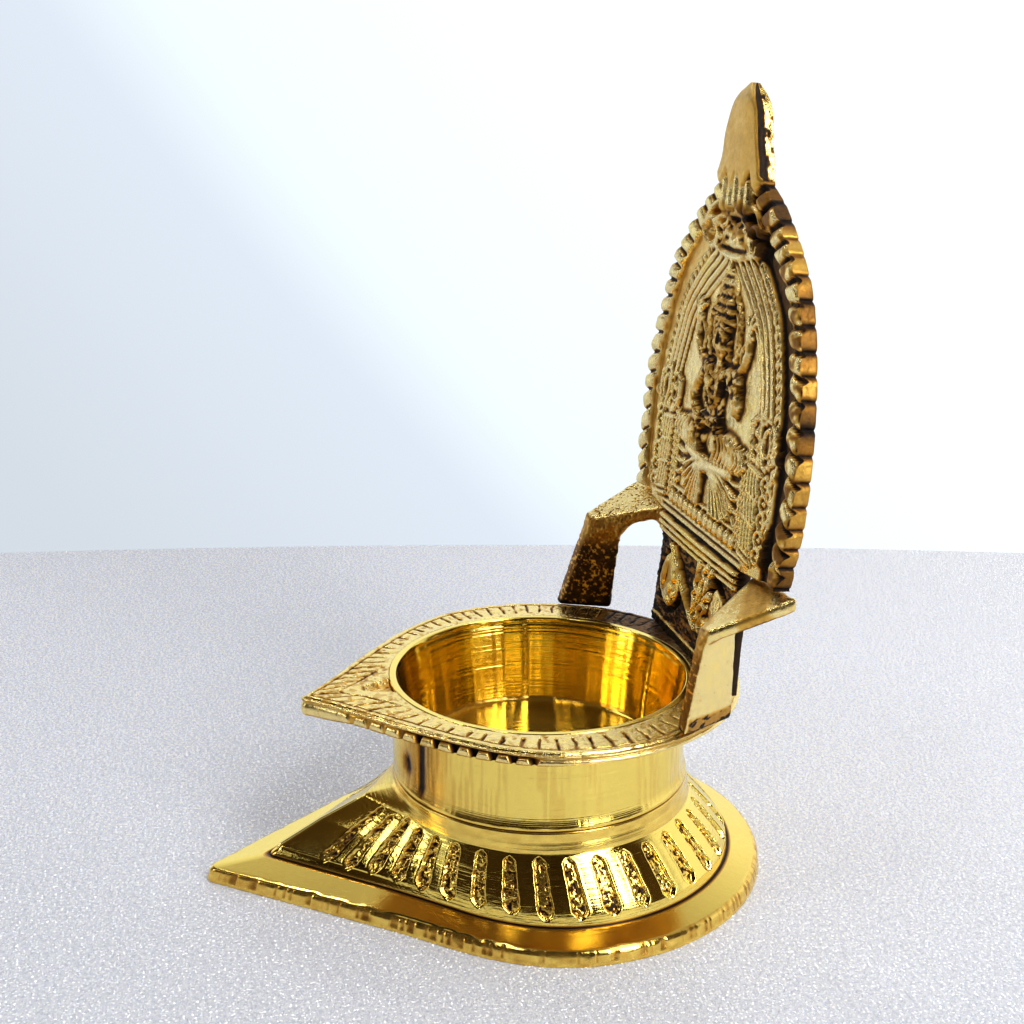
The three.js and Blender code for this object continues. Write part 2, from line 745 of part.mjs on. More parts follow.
function armGeometry(side) {
  const corner = (x, y, z) => point(side * x, y, z);
  const quad = (corners) => (side > 0 ? corners : corners.reverse());
  const backY = plaqueFrontY + plaqueThickness;
  const innerBackZ = plaqueFootHeight - seatGap;
  const outerBackZ = plaqueFootHeight + plaqueCornerRise - seatGap;
  const rise = (innerBackZ - shoulderHeight) / (backY - shoulderY);
  const slope = (backY - shoulderY) / (shoulderInnerX - strapInnerX);
  const outer = shoulderInnerX + shoulderThickness;
  const spot = (x, y) => corner(x, y, shoulderHeight - strapThickness / 4 + rise * (y - shoulderY));
  const shoulderQuad = (inward) => [
    spot(shoulderInnerX - inward, shoulderY + slope * inward),
    spot(outer, shoulderY),
    spot(outer - legTurn * legTopDepth, shoulderY + legTopDepth),
    spot(shoulderInnerX - inward - legTurn * legTopDepth, shoulderY + legTopDepth),
  ];
  const foot = turned(legFootQuad(corner, mouthHeight));
  const top = shoulderQuad(0);
  const share = 1 - (strapThickness + gussetReach) / (shoulderHeight - mouthHeight);
  const middle = foot.map((low, index) => low.clone().lerp(top[index], share));
  const leg = block(quad(foot), quad(top));
  const gusset = block(quad(middle), quad(shoulderQuad(gussetReach)));
  const strapQuad = (drop) => quad([
    corner(shoulderInnerX, shoulderY, shoulderHeight - drop),
    corner(outer, shoulderY, shoulderHeight + shoulderTilt - drop),
    corner(strapOuterX, backY, outerBackZ - drop),
    corner(strapInnerX, backY, innerBackZ - drop),
  ]);
  const strap = block(strapQuad(strapThickness), strapQuad(0));
  return geometryOf(join(leg, gusset, strap));
}

// Clamp

function washerGeometry() {
  const bore = studRadius + fitClearance;
  const profile = [
    [bore, washerUnderside],
    [washerRadius, washerUnderside],
    [washerRadius, crownUnderside],
    [bore, crownUnderside],
    [bore, washerUnderside],
  ].map(([radius, height]) => new THREE.Vector2(radius, height));
  return new THREE.LatheGeometry(profile, 32).rotateX(Math.PI / 2);
}

function nutGeometry() {
  const corners = 6;
  const outline = new THREE.Shape();
  for (let corner = 0; corner < corners; corner += 1) {
    const angle = (corner / corners) * 2 * Math.PI;
    const x = (nutAcrossCorners / 2) * Math.cos(angle);
    const y = (nutAcrossCorners / 2) * Math.sin(angle);
    if (corner === 0) {
      outline.moveTo(x, y);
    } else {
      outline.lineTo(x, y);
    }
  }
  outline.holes.push(new THREE.Path().absarc(0, 0, studRadius + fitClearance, 0, 2 * Math.PI, true));
  const geometry = new THREE.ExtrudeGeometry(outline, {
    depth: nutHeight, bevelEnabled: false, curveSegments: 12,
  });
  return geometry.translate(0, 0, washerUnderside - nutHeight);
}

// Assembly

const lamp = new THREE.Group();
lamp.position.y = lampShift;
lamp.add(mesh('foot', footGeometry(), brass.polished));
lamp.add(mesh('bowl', bowlGeometry(), brass.polished));
lamp.add(mesh('rim_plate', rimGeometry(), brass.satin));
lamp.add(mesh('left_arm', armGeometry(-1), brass.satin));
lamp.add(mesh('right_arm', armGeometry(1), brass.satin));
lamp.add(mesh('clamp_washer', washerGeometry(), brass.aged));
lamp.add(mesh('clamp_nut', nutGeometry(), brass.aged));

const upright = new THREE.Group();
upright.position.set(0, plaqueFrontY, plaqueFootHeight);
upright.rotation.x = Math.PI / 2 - plaqueLean;
upright.add(mesh('plaque', plaqueGeometry(), brass.aged));
upright.add(mesh('centre_panel', panelGeometry(), brass.aged));
lamp.add(upright);

const model = new THREE.Group();
model.add(lamp);

export default model;
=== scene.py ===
"""Kamakshi oil lamp: carved and turned brass surfaces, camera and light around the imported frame.

Places are worked out in millimetres about the bowl's axis and turned into metres when a mesh is made.
"""
import json
import math

import bmesh
import bpy
import numpy as np
from mathutils import Euler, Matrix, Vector


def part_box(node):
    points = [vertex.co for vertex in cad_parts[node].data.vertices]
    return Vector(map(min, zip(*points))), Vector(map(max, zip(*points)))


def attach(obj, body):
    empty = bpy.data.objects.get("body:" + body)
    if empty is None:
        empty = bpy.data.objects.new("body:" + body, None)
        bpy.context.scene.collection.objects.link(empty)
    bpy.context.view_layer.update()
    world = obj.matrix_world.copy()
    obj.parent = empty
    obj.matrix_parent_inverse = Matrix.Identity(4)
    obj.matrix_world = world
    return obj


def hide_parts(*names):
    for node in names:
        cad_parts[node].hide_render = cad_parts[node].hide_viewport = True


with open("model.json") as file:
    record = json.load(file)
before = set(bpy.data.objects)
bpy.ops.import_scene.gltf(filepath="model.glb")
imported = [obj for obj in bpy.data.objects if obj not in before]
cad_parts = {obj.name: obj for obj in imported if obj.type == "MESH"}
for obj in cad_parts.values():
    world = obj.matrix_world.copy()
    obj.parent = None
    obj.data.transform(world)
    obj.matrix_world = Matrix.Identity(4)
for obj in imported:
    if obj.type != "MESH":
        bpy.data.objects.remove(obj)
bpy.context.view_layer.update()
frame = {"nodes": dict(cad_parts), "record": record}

MM = 0.001


def node_box(name):
    """Lowest and highest corners of a node, in millimetres."""
    low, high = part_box(name)
    return np.array(low) / MM, np.array(high) / MM


BOWL_LOW, BOWL_HIGH = node_box("bowl")
FOOT_HIGH = node_box("foot")[1]
LAMP_SHIFT = (BOWL_LOW[1] + BOWL_HIGH[1]) / 2
MOUTH_HEIGHT = BOWL_HIGH[2]

# Oil bowl
MOUTH_RADIUS = 25.0
LIP_WIDTH = 1.2
LIP_HEIGHT = 1.2
NECK_RADIUS = 25.1
BOWL_DEPTH = 15.8
FLOOR_RADIUS = 22.7
SEAT_HEIGHT = MOUTH_HEIGHT - BOWL_DEPTH - 1.6
STUD_RADIUS = 3.0
NECK_FLARE = 0.6
STUD_LENGTH = 9.0

# Foot
FOOT_RADIUS = FOOT_HIGH[0]
FOOT_CENTRE_Y = 1.6
FOOT_TIP = 60.0
FOOT_TIP_ROUNDING = 1.6
FOOT_TIP_SHIFT = 2.4
FOOT_SHIFT_SPAN = 32.0
FOOT_EDGE = 2.6
BAND_RISE = 1.0
BAND_INSET = 1.25
DOME_RADIUS = 31.9
DOME_TIP = 49.0
DOME_TIP_ROUNDING = 1.2
DOME_EDGE_HEIGHT = 5.2
DOME_EDGE_INSET = 0.3
DOME_EDGE_TIP_INSET = 1.6
DOME_TOP_HEIGHT = 13.6
DOME_TOP_RADIUS = 26.2
DOME_TOP_REACH = 31.0
DOME_BULGE = 1.2
CROWN_RADIUS = 25.7
FLUTE_PITCH = 5.6
FLUTE_TIP_START = 10.3
FLUTE_TIP_PITCH = 4.9
FLUTE_TIP_COUNT = 6
FLUTE_DEPTH = 1.0
CROWN_THICKNESS = 2.0
HOLLOW_TOP_RADIUS = 20.0

# Rim plate
RIM_RADIUS = 33.5
RIM_CENTRE_Y = 0.8
RIM_TURN = math.radians(2.7)
RIM_THICKNESS = 2.8
ROLL_THICKNESS = 2.0
BEAK_REACH = 41.3
BEAK_HALF_WIDTH = 1.1
BEAK_START = math.radians(78)
BEAK_SHOULDER_SWEEP = 14.4
BEAK_SWEEP = 8.6
BEAK_TAPER = math.radians(37)
ENGRAVED_LINE = 1.85
ENGRAVED_RAIL = 5.9
RUNG_PITCH_NEAR = 3.2
RUNG_PITCH_FAR = 2.72
KNOB_PITCH = 3.35
UPPER_EDGE = 0.85

# Plaque
PLAQUE_LEAN = math.radians(4.92)
PLAQUE_FOOT = np.array([0.0, 27.8, 56.8])
PLAQUE_ACROSS = np.array([1.0, 0.0, 0.0])
PLAQUE_UP = np.array([0.0, math.sin(PLAQUE_LEAN), math.cos(PLAQUE_LEAN)])
PLAQUE_OUT = np.cross(PLAQUE_ACROSS, PLAQUE_UP)
PLAQUE_THICKNESS = 2.4
PLAQUE_CORNER = (35.0, 1.7)
STRAP_INNER_X = 19.4
FINIAL_PROUD = 1.7
FINIAL_THICKNESS = 3.1
PANEL_THICKNESS = 2.6

# Relief: a level under everything, fewest points of a drawn arc, steps from point to point of a curve
BELOW_ALL = -9
FEWEST_IN_ARC = 12
CURVE_STEPS = 8

# Camera, measured from the bowl's axis at the table
CAMERA_PLACE = Vector((224.62, -60.93 + LAMP_SHIFT, 132.82)) * MM
CAMERA_AZIMUTH = math.radians(76.1)
CAMERA_PITCH = math.radians(-16.7)
CAMERA_ROLL = math.radians(0.42)
CAMERA_LENS = 50.99

# Surroundings, in metres
FLOOR_RADIUS_FAR = 1.47
FLOOR_REACH = 0.409
FLOOR_SIDESTEP = 0.035
WINDOW_DISTANCE = 0.6
# Glowing panels: name, heading and height seen from the lamp, width and height in degrees, glow
WINDOWS = (
    ("window", 28, 35, 19, 46, 6.6),
    ("side_window", -92, 24, 12, 18, 4.0),
    ("pale_wall", -143, 8, 24, 26, 0.55),
    ("high_window", 44, 56, 18, 14, 4.0),
    ("ceiling_lamp_0", 140, 62, 7, 7, 11.0),
    ("ceiling_lamp_1", -150, 56, 7, 7, 11.0),
    ("ceiling_lamp_2", -60, 66, 7, 7, 11.0),
)

# Brass: colours from tarnished brass to packed soiling and painted shade, and where turned lines end around
# the bowl, in metres
TARNISH_AND_SHADE_COLOURS = (
    (0.26, (0.76, 0.47, 0.10)), (0.52, (0.36, 0.17, 0.025)), (0.8, (0.06, 0.028, 0.007)),
    (1.0, (0.012, 0.006, 0.002)),
)
TURNED_REACH = 0.034
TURNED_FADE = 0.003


# Small numeric helpers

def smooth(value):
    """An eased step from 0 to 1."""
    value = np.clip(value, 0, 1)
    return value * value * (3 - 2 * value)


def between(start, end, share):
    """The value at a share of the way."""
    return start + (end - start) * share


NOISE_TABLE = np.random.default_rng(7).random((256, 256))


def noise(x, y, size):
    """Smooth noise between 0 and 1, with lumps about the given size."""
    x, y = x / size + 1000.5, y / size + 1000.5
    left, low = np.floor(x).astype(int), np.floor(y).astype(int)
    across, up = smooth(x - left), smooth(y - low)
    corner = [[NOISE_TABLE[(left + i) % 256, (low + j) % 256] for j in (0, 1)] for i in (0, 1)]
    bottom = corner[0][0] * (1 - across) + corner[1][0] * across
    top = corner[0][1] * (1 - across) + corner[1][1] * across
    return bottom * (1 - up) + top * up


def layered_noise(x, y, size, layers=3):
    """Noise of ever finer lumps, between 0 and 1."""
    total = sum(noise(x + 31 * k, y + 17 * k, size / 2 ** k) / 2 ** k for k in range(layers))
    return total / (2 - 2 ** (1 - layers))


def blurred(grid, rows, columns):
    """Box blur over a grid."""
    result = grid
    for axis, reach in ((0, rows), (1, columns)):
        if reach < 1:
            continue
        pad = [(0, 0), (0, 0)]
        pad[axis] = (reach + 1, reach)
        total = np.cumsum(np.pad(result, pad, mode="edge"), axis=axis)
        place = np.arange(result.shape[axis])
        high = np.take(total, place + 2 * reach + 1, axis=axis)
        low = np.take(total, place, axis=axis)
        result = (high - low) / (2 * reach + 1)
    return result


def dips(height, *scales):
    """How deep each place lies below its surroundings. A scale is a reach, a start and a span."""
    result = np.zeros(height.shape)
    for reach, start, span in scales:
        below = blurred(height, reach, reach) - height
        result = np.maximum(result, smooth((below - start) / span))
    return result


def degrees_from(angles, middle):
    """Signed turn of angles from a middle one that is given in degrees."""
    return np.degrees(np.angle(np.exp(1j * (angles - math.radians(middle)))))


# Meshes

def add_grime_and_shade(mesh, grime_and_shade):
    """Store each vertex's soiling and painted shade, from 0 to 1."""
    layer = mesh.attributes.new("grime_and_shade", "FLOAT", "POINT")
    layer.data.foreach_set("value", np.clip(grime_and_shade, 0, 1).reshape(-1).astype(np.float32))


def skin(name, grid, slot, replaced, grime_and_shade, close_rows=False):
    """A closed skin over rings of points. Columns wrap; rows wrap or end in flat caps."""
    rows, columns = grid.shape[:2]
    places = grid.reshape(-1, 3).copy()
    places[:, 1] += LAMP_SHIFT
    here = np.arange(rows * columns).reshape(rows, columns)
    lower, upper = (here, np.roll(here, -1, axis=0)) if close_rows else (here[:-1], here[1:])
    corners = [lower, np.roll(lower, -1, axis=1), np.roll(upper, -1, axis=1), upper]
    quads = np.stack(corners, axis=-1).reshape(-1, 4)
    corners = places[quads]
    flow = np.cross(corners[:, 1] - corners[:, 0], corners[:, 3] - corners[:, 0])
    flipped = np.sum(flow * corners[:, 0]) < 0
    if flipped:
        quads = quads[:, ::-1]
    loops = [quads.reshape(-1)]
    starts = list(range(0, quads.size, 4))
    if not close_rows:
        for ring, inward in ((here[0], not flipped), (here[-1], flipped)):
            starts.append(sum(part.size for part in loops))
            loops.append(ring[::-1] if inward else ring)
    loops = np.concatenate(loops).astype(np.int32)
    mesh = bpy.data.meshes.new(name)
    mesh.vertices.add(len(places))
    mesh.vertices.foreach_set("co", (places * MM).astype(np.float32).reshape(-1))
    mesh.loops.add(len(loops))
    mesh.loops.foreach_set("vertex_index", loops)
    mesh.polygons.add(len(starts))
    mesh.polygons.foreach_set("loop_start", np.array(starts, dtype=np.int32))
    mesh.update(calc_edges=True)
    mesh.polygons.foreach_set("use_smooth", np.ones(len(starts), dtype=bool))
    add_grime_and_shade(mesh, grime_and_shade)
    mesh.validate()
    piece = bpy.data.objects.new(name, mesh)
    bpy.context.scene.collection.objects.link(piece)
    piece.data.materials.append(MATERIALS[slot])
    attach(piece, "root")
    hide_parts(replaced)


class Rings:
    """Rings of points that close on themselves, each point with its soiling and painted shade."""

    def __init__(self):
        self.points = []
        self.grime_and_shade = []

    def add(self, x, y, height, grime_and_shade):
        """Add a ring. Each value is one for the whole ring or one for each point."""
        x, y, height, grime_and_shade = np.broadcast_arrays(x, y, height, grime_and_shade)
        self.points.append(np.stack([x, y, height], axis=-1))
        self.grime_and_shade.append(grime_and_shade)


# Nodes of materials

def feed(socket, value):
    """Give a socket a value, or link it to another node's output."""
    if isinstance(value, bpy.types.NodeSocket):
        socket.id_data.links.new(value, socket)
    else:
        socket.default_value = value


def feed_node(node, inputs):
    """Feed a node's sockets, by name or number."""
    for name, value in inputs.items():
        feed(node.inputs[name], value)


def add_node(tree, kind, inputs=None, **settings):
    """A new node with its settings, and its inputs by name or number."""
    node = tree.nodes.new("ShaderNode" + kind)
    for key, value in settings.items():
        setattr(node, key, value)
    feed_node(node, inputs or {})
    return node


def add_texture(tree, vector, scale, detail, roughness):
    """Cloudy noise over a vector."""
    inputs = {"Vector": vector, "Scale": scale, "Detail": detail, "Roughness": roughness}
    return add_node(tree, "TexNoise", inputs).outputs["Fac"]


def add_ramp(tree, factor, stops):
    """Colours over a factor, from pairs of a position and a colour in rising order."""
    node = add_node(tree, "ValToRGB", {"Fac": factor})
    elements = node.color_ramp.elements
    for position, _ in stops[1:-1]:
        elements.new(position)
    for element, (position, colour) in zip(elements, stops):
        element.position = position
        element.color = (*colour, 1)
    return node.outputs["Color"]


# Brass

def brass(name, clean, patina, rough, grime_and_shade_amount, mottle, pits, turning=0.0, stretch=0.0):
    """Brass that darkens and dulls where the mesh's attribute of soiling and painted shade says so."""
    mat = bpy.data.materials.new(name)
    mat.use_nodes = True
    tree = mat.node_tree

    def calc(operation, first, second=0.0, clamp=False):
        inputs = {0: first, 1: second}
        return add_node(tree, "Math", inputs, operation=operation, use_clamp=clamp).outputs[0]

    place = add_node(tree, "TexCoord").outputs["Object"]
    broad = add_texture(tree, place, 90, 4, 0.6)
    fine = add_texture(tree, place, 900, 5, 0.7)
    pit = add_texture(tree, place, 2600, 3, 0.7)
    grime_and_shade = add_node(tree, "Attribute", attribute_name="grime_and_shade").outputs["Fac"]
    blotch = calc("MULTIPLY", calc("SUBTRACT", broad, 0.5), mottle)
    speck = calc("MULTIPLY", calc("SUBTRACT", fine, 0.5), mottle)
    dirt_and_shade = calc("ADD", calc("MULTIPLY", grime_and_shade, grime_and_shade_amount), calc("ADD", blotch, speck), clamp=True)
    spread = calc("MULTIPLY", calc("SUBTRACT", fine, 0.5), 0.12)
    dull = calc("ADD", calc("MULTIPLY", dirt_and_shade, 0.4), calc("ADD", rough, spread), clamp=True)
    height = calc("ADD", calc("MULTIPLY", pit, pits), calc("MULTIPLY", fine, pits * 0.8))
    surface = {
        "Base Color": add_ramp(tree, dirt_and_shade, ((0.0, clean), (0.09, patina), *TARNISH_AND_SHADE_COLOURS)),
        "Metallic": calc("SUBTRACT", 1.0, calc("MULTIPLY", dirt_and_shade, 0.55)),
    }
    if turning:
        axis = (0, LAMP_SHIFT * MM, 0)
        shifted = add_node(tree, "VectorMath", {0: place, 1: axis}, operation="SUBTRACT").outputs[0]
        split = add_node(tree, "SeparateXYZ", {0: shifted}).outputs
        squares = [calc("POWER", split[key], 2.0) for key in "XY"]
        radius = calc("SQRT", calc("ADD", *squares))
        drawn = {"X": calc("MULTIPLY", split["X"], 0.02), "Y": radius, "Z": split["Z"]}
        lines = add_texture(tree, add_node(tree, "CombineXYZ", drawn).outputs[0], 1500, 3, 0.6)
        near_axis = calc("DIVIDE", calc("SUBTRACT", TURNED_REACH, radius), TURNED_FADE, clamp=True)
        height = calc("ADD", height, calc("MULTIPLY", calc("MULTIPLY", lines, near_axis), turning))
        dull = calc("ADD", dull, calc("MULTIPLY", near_axis, 0.02))
        around = add_node(tree, "VectorMath", {0: (0, 0, 1), 1: shifted}, operation="CROSS_PRODUCT")
        along = add_node(tree, "VectorMath", {0: around.outputs[0]}, operation="NORMALIZE")
        surface["Tangent"] = along.outputs[0]
        surface["Anisotropic"] = stretch
        surface["Anisotropic Rotation"] = 0.25
    surface["Roughness"] = dull
    bump = add_node(tree, "Bump", {"Distance": 0.0004, "Height": height})
    surface["Normal"] = bump.outputs["Normal"]
    feed_node(tree.nodes["Principled BSDF"], surface)
    return mat


# Clean and tarnished colour, roughness, weight of the soiling and painted shade, mottling, pits, turned
# lines and stretch
BRASSES = {
    "polished_brass": ((0.98, 0.76, 0.20), (0.92, 0.67, 0.17), 0.09, 0.95, 0.10, 0.03, 0.28, 0.9),
    "satin_brass": ((0.96, 0.75, 0.26), (0.93, 0.75, 0.34), 0.21, 1.0, 0.34, 0.11),
    "aged_brass": ((0.97, 0.75, 0.22), (0.94, 0.77, 0.39), 0.22, 1.0, 0.26, 0.20),
}
MATERIALS = {name: brass(name, *values) for name, values in BRASSES.items()}


# Foot

def teardrop(angle, radius, reach, rounding):
    """Distance from the centre of a teardrop to its edge, at an angle from its tip."""
    turn = np.abs(angle)
    span = reach - rounding
    if span <= radius - rounding:
        return np.full_like(angle, radius)
    tangent = math.acos((radius - rounding) / span)
    rounding_end = math.atan2(rounding * math.sin(tangent), span + rounding * math.cos(tangent))
    tip = span * np.cos(turn) + np.sqrt(np.clip(rounding ** 2 - (span * np.sin(turn)) ** 2, 0, None))
    side = radius / np.cos(np.clip(tangent - turn, 0, None))
    return np.where(turn < rounding_end, tip, np.where(turn < tangent, side, radius))


def even_angles(count, radius, reach, rounding):
    """Angles from the tip, from -180 to 180 degrees, at even steps along a teardrop."""
    fine = np.linspace(-math.pi, math.pi, 20001)
    edge = teardrop(fine, radius, reach, rounding)
    x, y = edge * np.sin(fine), edge * np.cos(fine)
    length = np.concatenate([[0], np.cumsum(np.hypot(np.diff(x), np.diff(y)))])
    wanted = np.arange(count) / count * length[-1]
    return np.interp(wanted, length, fine), length[-1]


def flute_middles(half_length):
    """Distances along the dome's outline from its tip to each flute on one side."""
    near_tip = [FLUTE_TIP_START + k * FLUTE_TIP_PITCH for k in range(FLUTE_TIP_COUNT)]
    left = half_length - near_tip[-1]
    count = round(left / FLUTE_PITCH - 0.5)
    pitch = left / (count + 0.5)
    return np.array(near_tip + [near_tip[-1] + (k + 1) * pitch for k in range(count)])


def foot():
    """The hollow casting: flat band, fluted dome and crown, then back down the inside."""
    columns = 1480
    angles, around = even_angles(columns, DOME_RADIUS, DOME_TIP, DOME_TIP_ROUNDING)
    s = np.arange(columns) / columns * around
    signed = s - around / 2
    rings = Rings()

    def ring(radius, reach, rounding, height, inset=0.0, grime_and_shade=0.0, centre=FOOT_CENTRE_Y):
        edge = teardrop(angles, radius, reach, rounding) - inset
        y = centre - edge * np.cos(angles)
        lean = FOOT_TIP_SHIFT * np.clip((reach - radius) / 10, 0, 1) * smooth(-y / FOOT_SHIFT_SPAN)
        rings.add(edge * np.sin(angles) - lean, y, height, grime_and_shade)

    def round_ring(radius, height, grime_and_shade):
        rings.add(radius * np.sin(angles), -radius * np.cos(angles), height, grime_and_shade)

    marks = smooth((noise(s, 0, 0.5) - 0.5) * 3.5) * smooth((noise(s, 9, 8) - 0.1) * 2.5)
    worn = 0.25 * noise(s, 21, 9) + 0.12 * noise(s, 4, 2.5)
    for share in np.linspace(0, 1, 14):
        height = FOOT_EDGE * (0.98 * share + 0.02 * share ** 3)
        corner = (0.45 + worn) * (1 - np.sqrt(1 - np.clip((share - 0.62) / 0.38, 0, 1) ** 2))
        low = 0.25 * (1 - np.sqrt(1 - np.clip((0.18 - share) / 0.18, 0, 1) ** 2))
        cut = 0.16 * marks * smooth((share - 0.25) * 3) * smooth((1.06 - share) * 3)
        wobble = 0.12 * noise(s, height * 0.7, 10) + 0.10 * noise(s, height * 2, 1.5)
        inset = corner + low + cut + wobble
        dirt_and_shade = 0.06 + 0.3 * marks * (0.3 < share < 0.97) + 0.2 * noise(s, height * 1.5, 1.2)
        ring(FOOT_RADIUS - 0.5 * share, FOOT_TIP - 0.5 * share, FOOT_TIP_ROUNDING, height, inset, dirt_and_shade)
    for share in np.linspace(0.02, 1, 9):
        radius = between(FOOT_RADIUS - BAND_INSET, DOME_RADIUS + 0.25, share)
        reach = between(FOOT_TIP - BAND_INSET, DOME_TIP + 0.25, share)
        rounding = between(FOOT_TIP_ROUNDING, DOME_TIP_ROUNDING, share)
        dirt_and_shade = 0.05 + 0.85 * (share > 0.99)
        ring(radius, reach, rounding, FOOT_EDGE + 0.02 + BAND_RISE * share, grime_and_shade=dirt_and_shade)
    base = FOOT_EDGE + BAND_RISE
    ring(DOME_RADIUS + 0.12, DOME_TIP + 0.12, DOME_TIP_ROUNDING, base - 0.1, grime_and_shade=1.0)
    ring(DOME_RADIUS, DOME_TIP, DOME_TIP_ROUNDING, base + 0.05, grime_and_shade=1.0)

    middles = flute_middles(around / 2)
    edges = (middles[1:] + middles[:-1]) / 2
    number = np.searchsorted(edges, np.abs(signed))
    across = (np.abs(signed) - middles[number]) * np.sign(signed)
    side = number + 40.0 * (signed > 0)
    drift = 0.5 * (noise(side * 7.3, 0, 1.0) - 0.5)
    wide = 1.4 + 0.3 * (noise(side * 5.1, 2, 1.0) - 0.5)
    deep = FLUTE_DEPTH * (0.85 + 0.4 * noise(side * 3.7, 8, 1.0))
    fading = smooth((signed - 26) / 26) * smooth((95 - signed) / 20)
    first = DOME_EDGE_HEIGHT - 0.3 + 0.9 * (noise(side * 9.1, 3, 1.0) - 0.5)
    last = DOME_TOP_HEIGHT - 0.5 + 1.1 * (noise(side * 4.3, 6, 1.0) - 0.5)
    wall = 0.4 + 0.55 * smooth((-signed) / 14)
    levels = np.concatenate([
        np.linspace(base + 0.2, DOME_EDGE_HEIGHT, 10),
        np.linspace(DOME_EDGE_HEIGHT, DOME_TOP_HEIGHT, 66)[1:],
    ])
    for height in levels:
        share = max(0.0, (height - DOME_EDGE_HEIGHT) / (DOME_TOP_HEIGHT - DOME_EDGE_HEIGHT))
        eased = smooth((height - base) / (DOME_EDGE_HEIGHT - base))
        radius = DOME_RADIUS - DOME_EDGE_INSET * eased
        radius += (DOME_TOP_RADIUS - DOME_RADIUS + DOME_EDGE_INSET) * share ** DOME_BULGE
        reach = DOME_TIP - DOME_EDGE_TIP_INSET * eased
        reach += (DOME_TOP_REACH - DOME_TIP + DOME_EDGE_TIP_INSET) * share
        part = (height - first) / (last - first)
        inside = np.sqrt(np.clip(part / 0.14, 0, 1)) * np.sqrt(np.clip((1 - part) / 0.07, 0, 1))
        jagged = 0.22 * (noise(side * 13, height, 0.7) - 0.5)
        half = (wide * (1.04 - 0.16 * part) + jagged) * inside
        place = across - drift * (part - 0.5)
        left_side = smooth((half + place) / 0.3)
        right_side = smooth((half - place) / wall)
        depth = left_side * right_side * (half > 0.15)
        grain = layered_noise(s, height * 1.25, 0.5, 2) - 0.5
        on_floor = smooth((half - wall - place + 0.15) / 0.25) * left_side * (half > 0.15)
        lip = np.exp(-((place - half - 0.12) / 0.2) ** 2)
        lip += 0.5 * np.exp(-((place + half + 0.12) / 0.2) ** 2)
        dent = 0.6 * grain * on_floor
        inset = (deep * depth + dent) * (1 - 0.4 * fading) - 0.05 * lip * (half > 0.3)
        coarse = layered_noise(s * 0.5, height * 3, 1.5, 2) - 0.5
        inset += 0.025 * coarse * smooth((np.abs(signed) - 6) / 8)
        dirt_and_shade = on_floor * (0.12 + 0.95 * smooth((grain - 0.02) * 5))
        # Painted shade along one side wall of each flute.
        dirt_and_shade += 0.15 * depth * (1 - on_floor) * (right_side > 0.9)
        dirt_and_shade += 0.5 * smooth((base + 0.5 - height) / 0.4)
        ring(radius, reach, DOME_TIP_ROUNDING, height, inset, dirt_and_shade, FOOT_CENTRE_Y * (1 - share))

    last_x, last_y, _ = rings.points[-1].T
    for climb in (0.15, 0.3, 0.5, 0.7, 0.95, 1.25, 1.6, 2.0, 2.4, 2.8, 3.15, 3.45):
        share = smooth(climb / 2.2)
        radius = CROWN_RADIUS + 0.5 * math.exp(-climb / 0.65)
        x = between(last_x, radius * np.sin(angles), share)
        y = between(last_y, -radius * np.cos(angles), share)
        rings.add(x, y, DOME_TOP_HEIGHT + climb, 0.04 + 0.14 * noise(s, climb * 3, 2.0))
    top = SEAT_HEIGHT
    round_ring(CROWN_RADIUS - 0.25, top - 0.02, 1.0)
    round_ring(STUD_RADIUS + 0.3, top - 0.02, 1.0)
    round_ring(STUD_RADIUS + 0.3, top - CROWN_THICKNESS, 0.8)
    round_ring(HOLLOW_TOP_RADIUS, top - CROWN_THICKNESS, 0.7)
    for share in np.linspace(0.15, 1, 7):
        bulge = math.sqrt(1 - (1 - share) ** 2)
        radius = between(HOLLOW_TOP_RADIUS, DOME_RADIUS - 3.4, bulge)
        reach = between(HOLLOW_TOP_RADIUS, DOME_TIP - 6.4, share ** 1.1)
        height = between(top - CROWN_THICKNESS - 0.4, 0.4, share)
        lump = 0.3 * (layered_noise(s * 0.7, share * 20, 3.0) - 0.5)
        ring(radius, reach, DOME_TIP_ROUNDING, height, lump, 0.55)
    rest_radius, rest_reach = DOME_RADIUS - 2.4, DOME_TIP - 4.8
    ring(rest_radius, rest_reach, DOME_TIP_ROUNDING, 0.0, grime_and_shade=0.4)
    for share in (0.33, 0.67):
        radius = between(rest_radius, FOOT_RADIUS, share)
        reach = between(rest_reach, FOOT_TIP, share)
        ring(radius, reach, FOOT_TIP_ROUNDING, 0.0, grime_and_shade=0.3)
    casting = np.array(rings.points)
    skin("foot_casting", casting, "polished_brass", "foot", np.array(rings.grime_and_shade), close_rows=True)


# Bowl

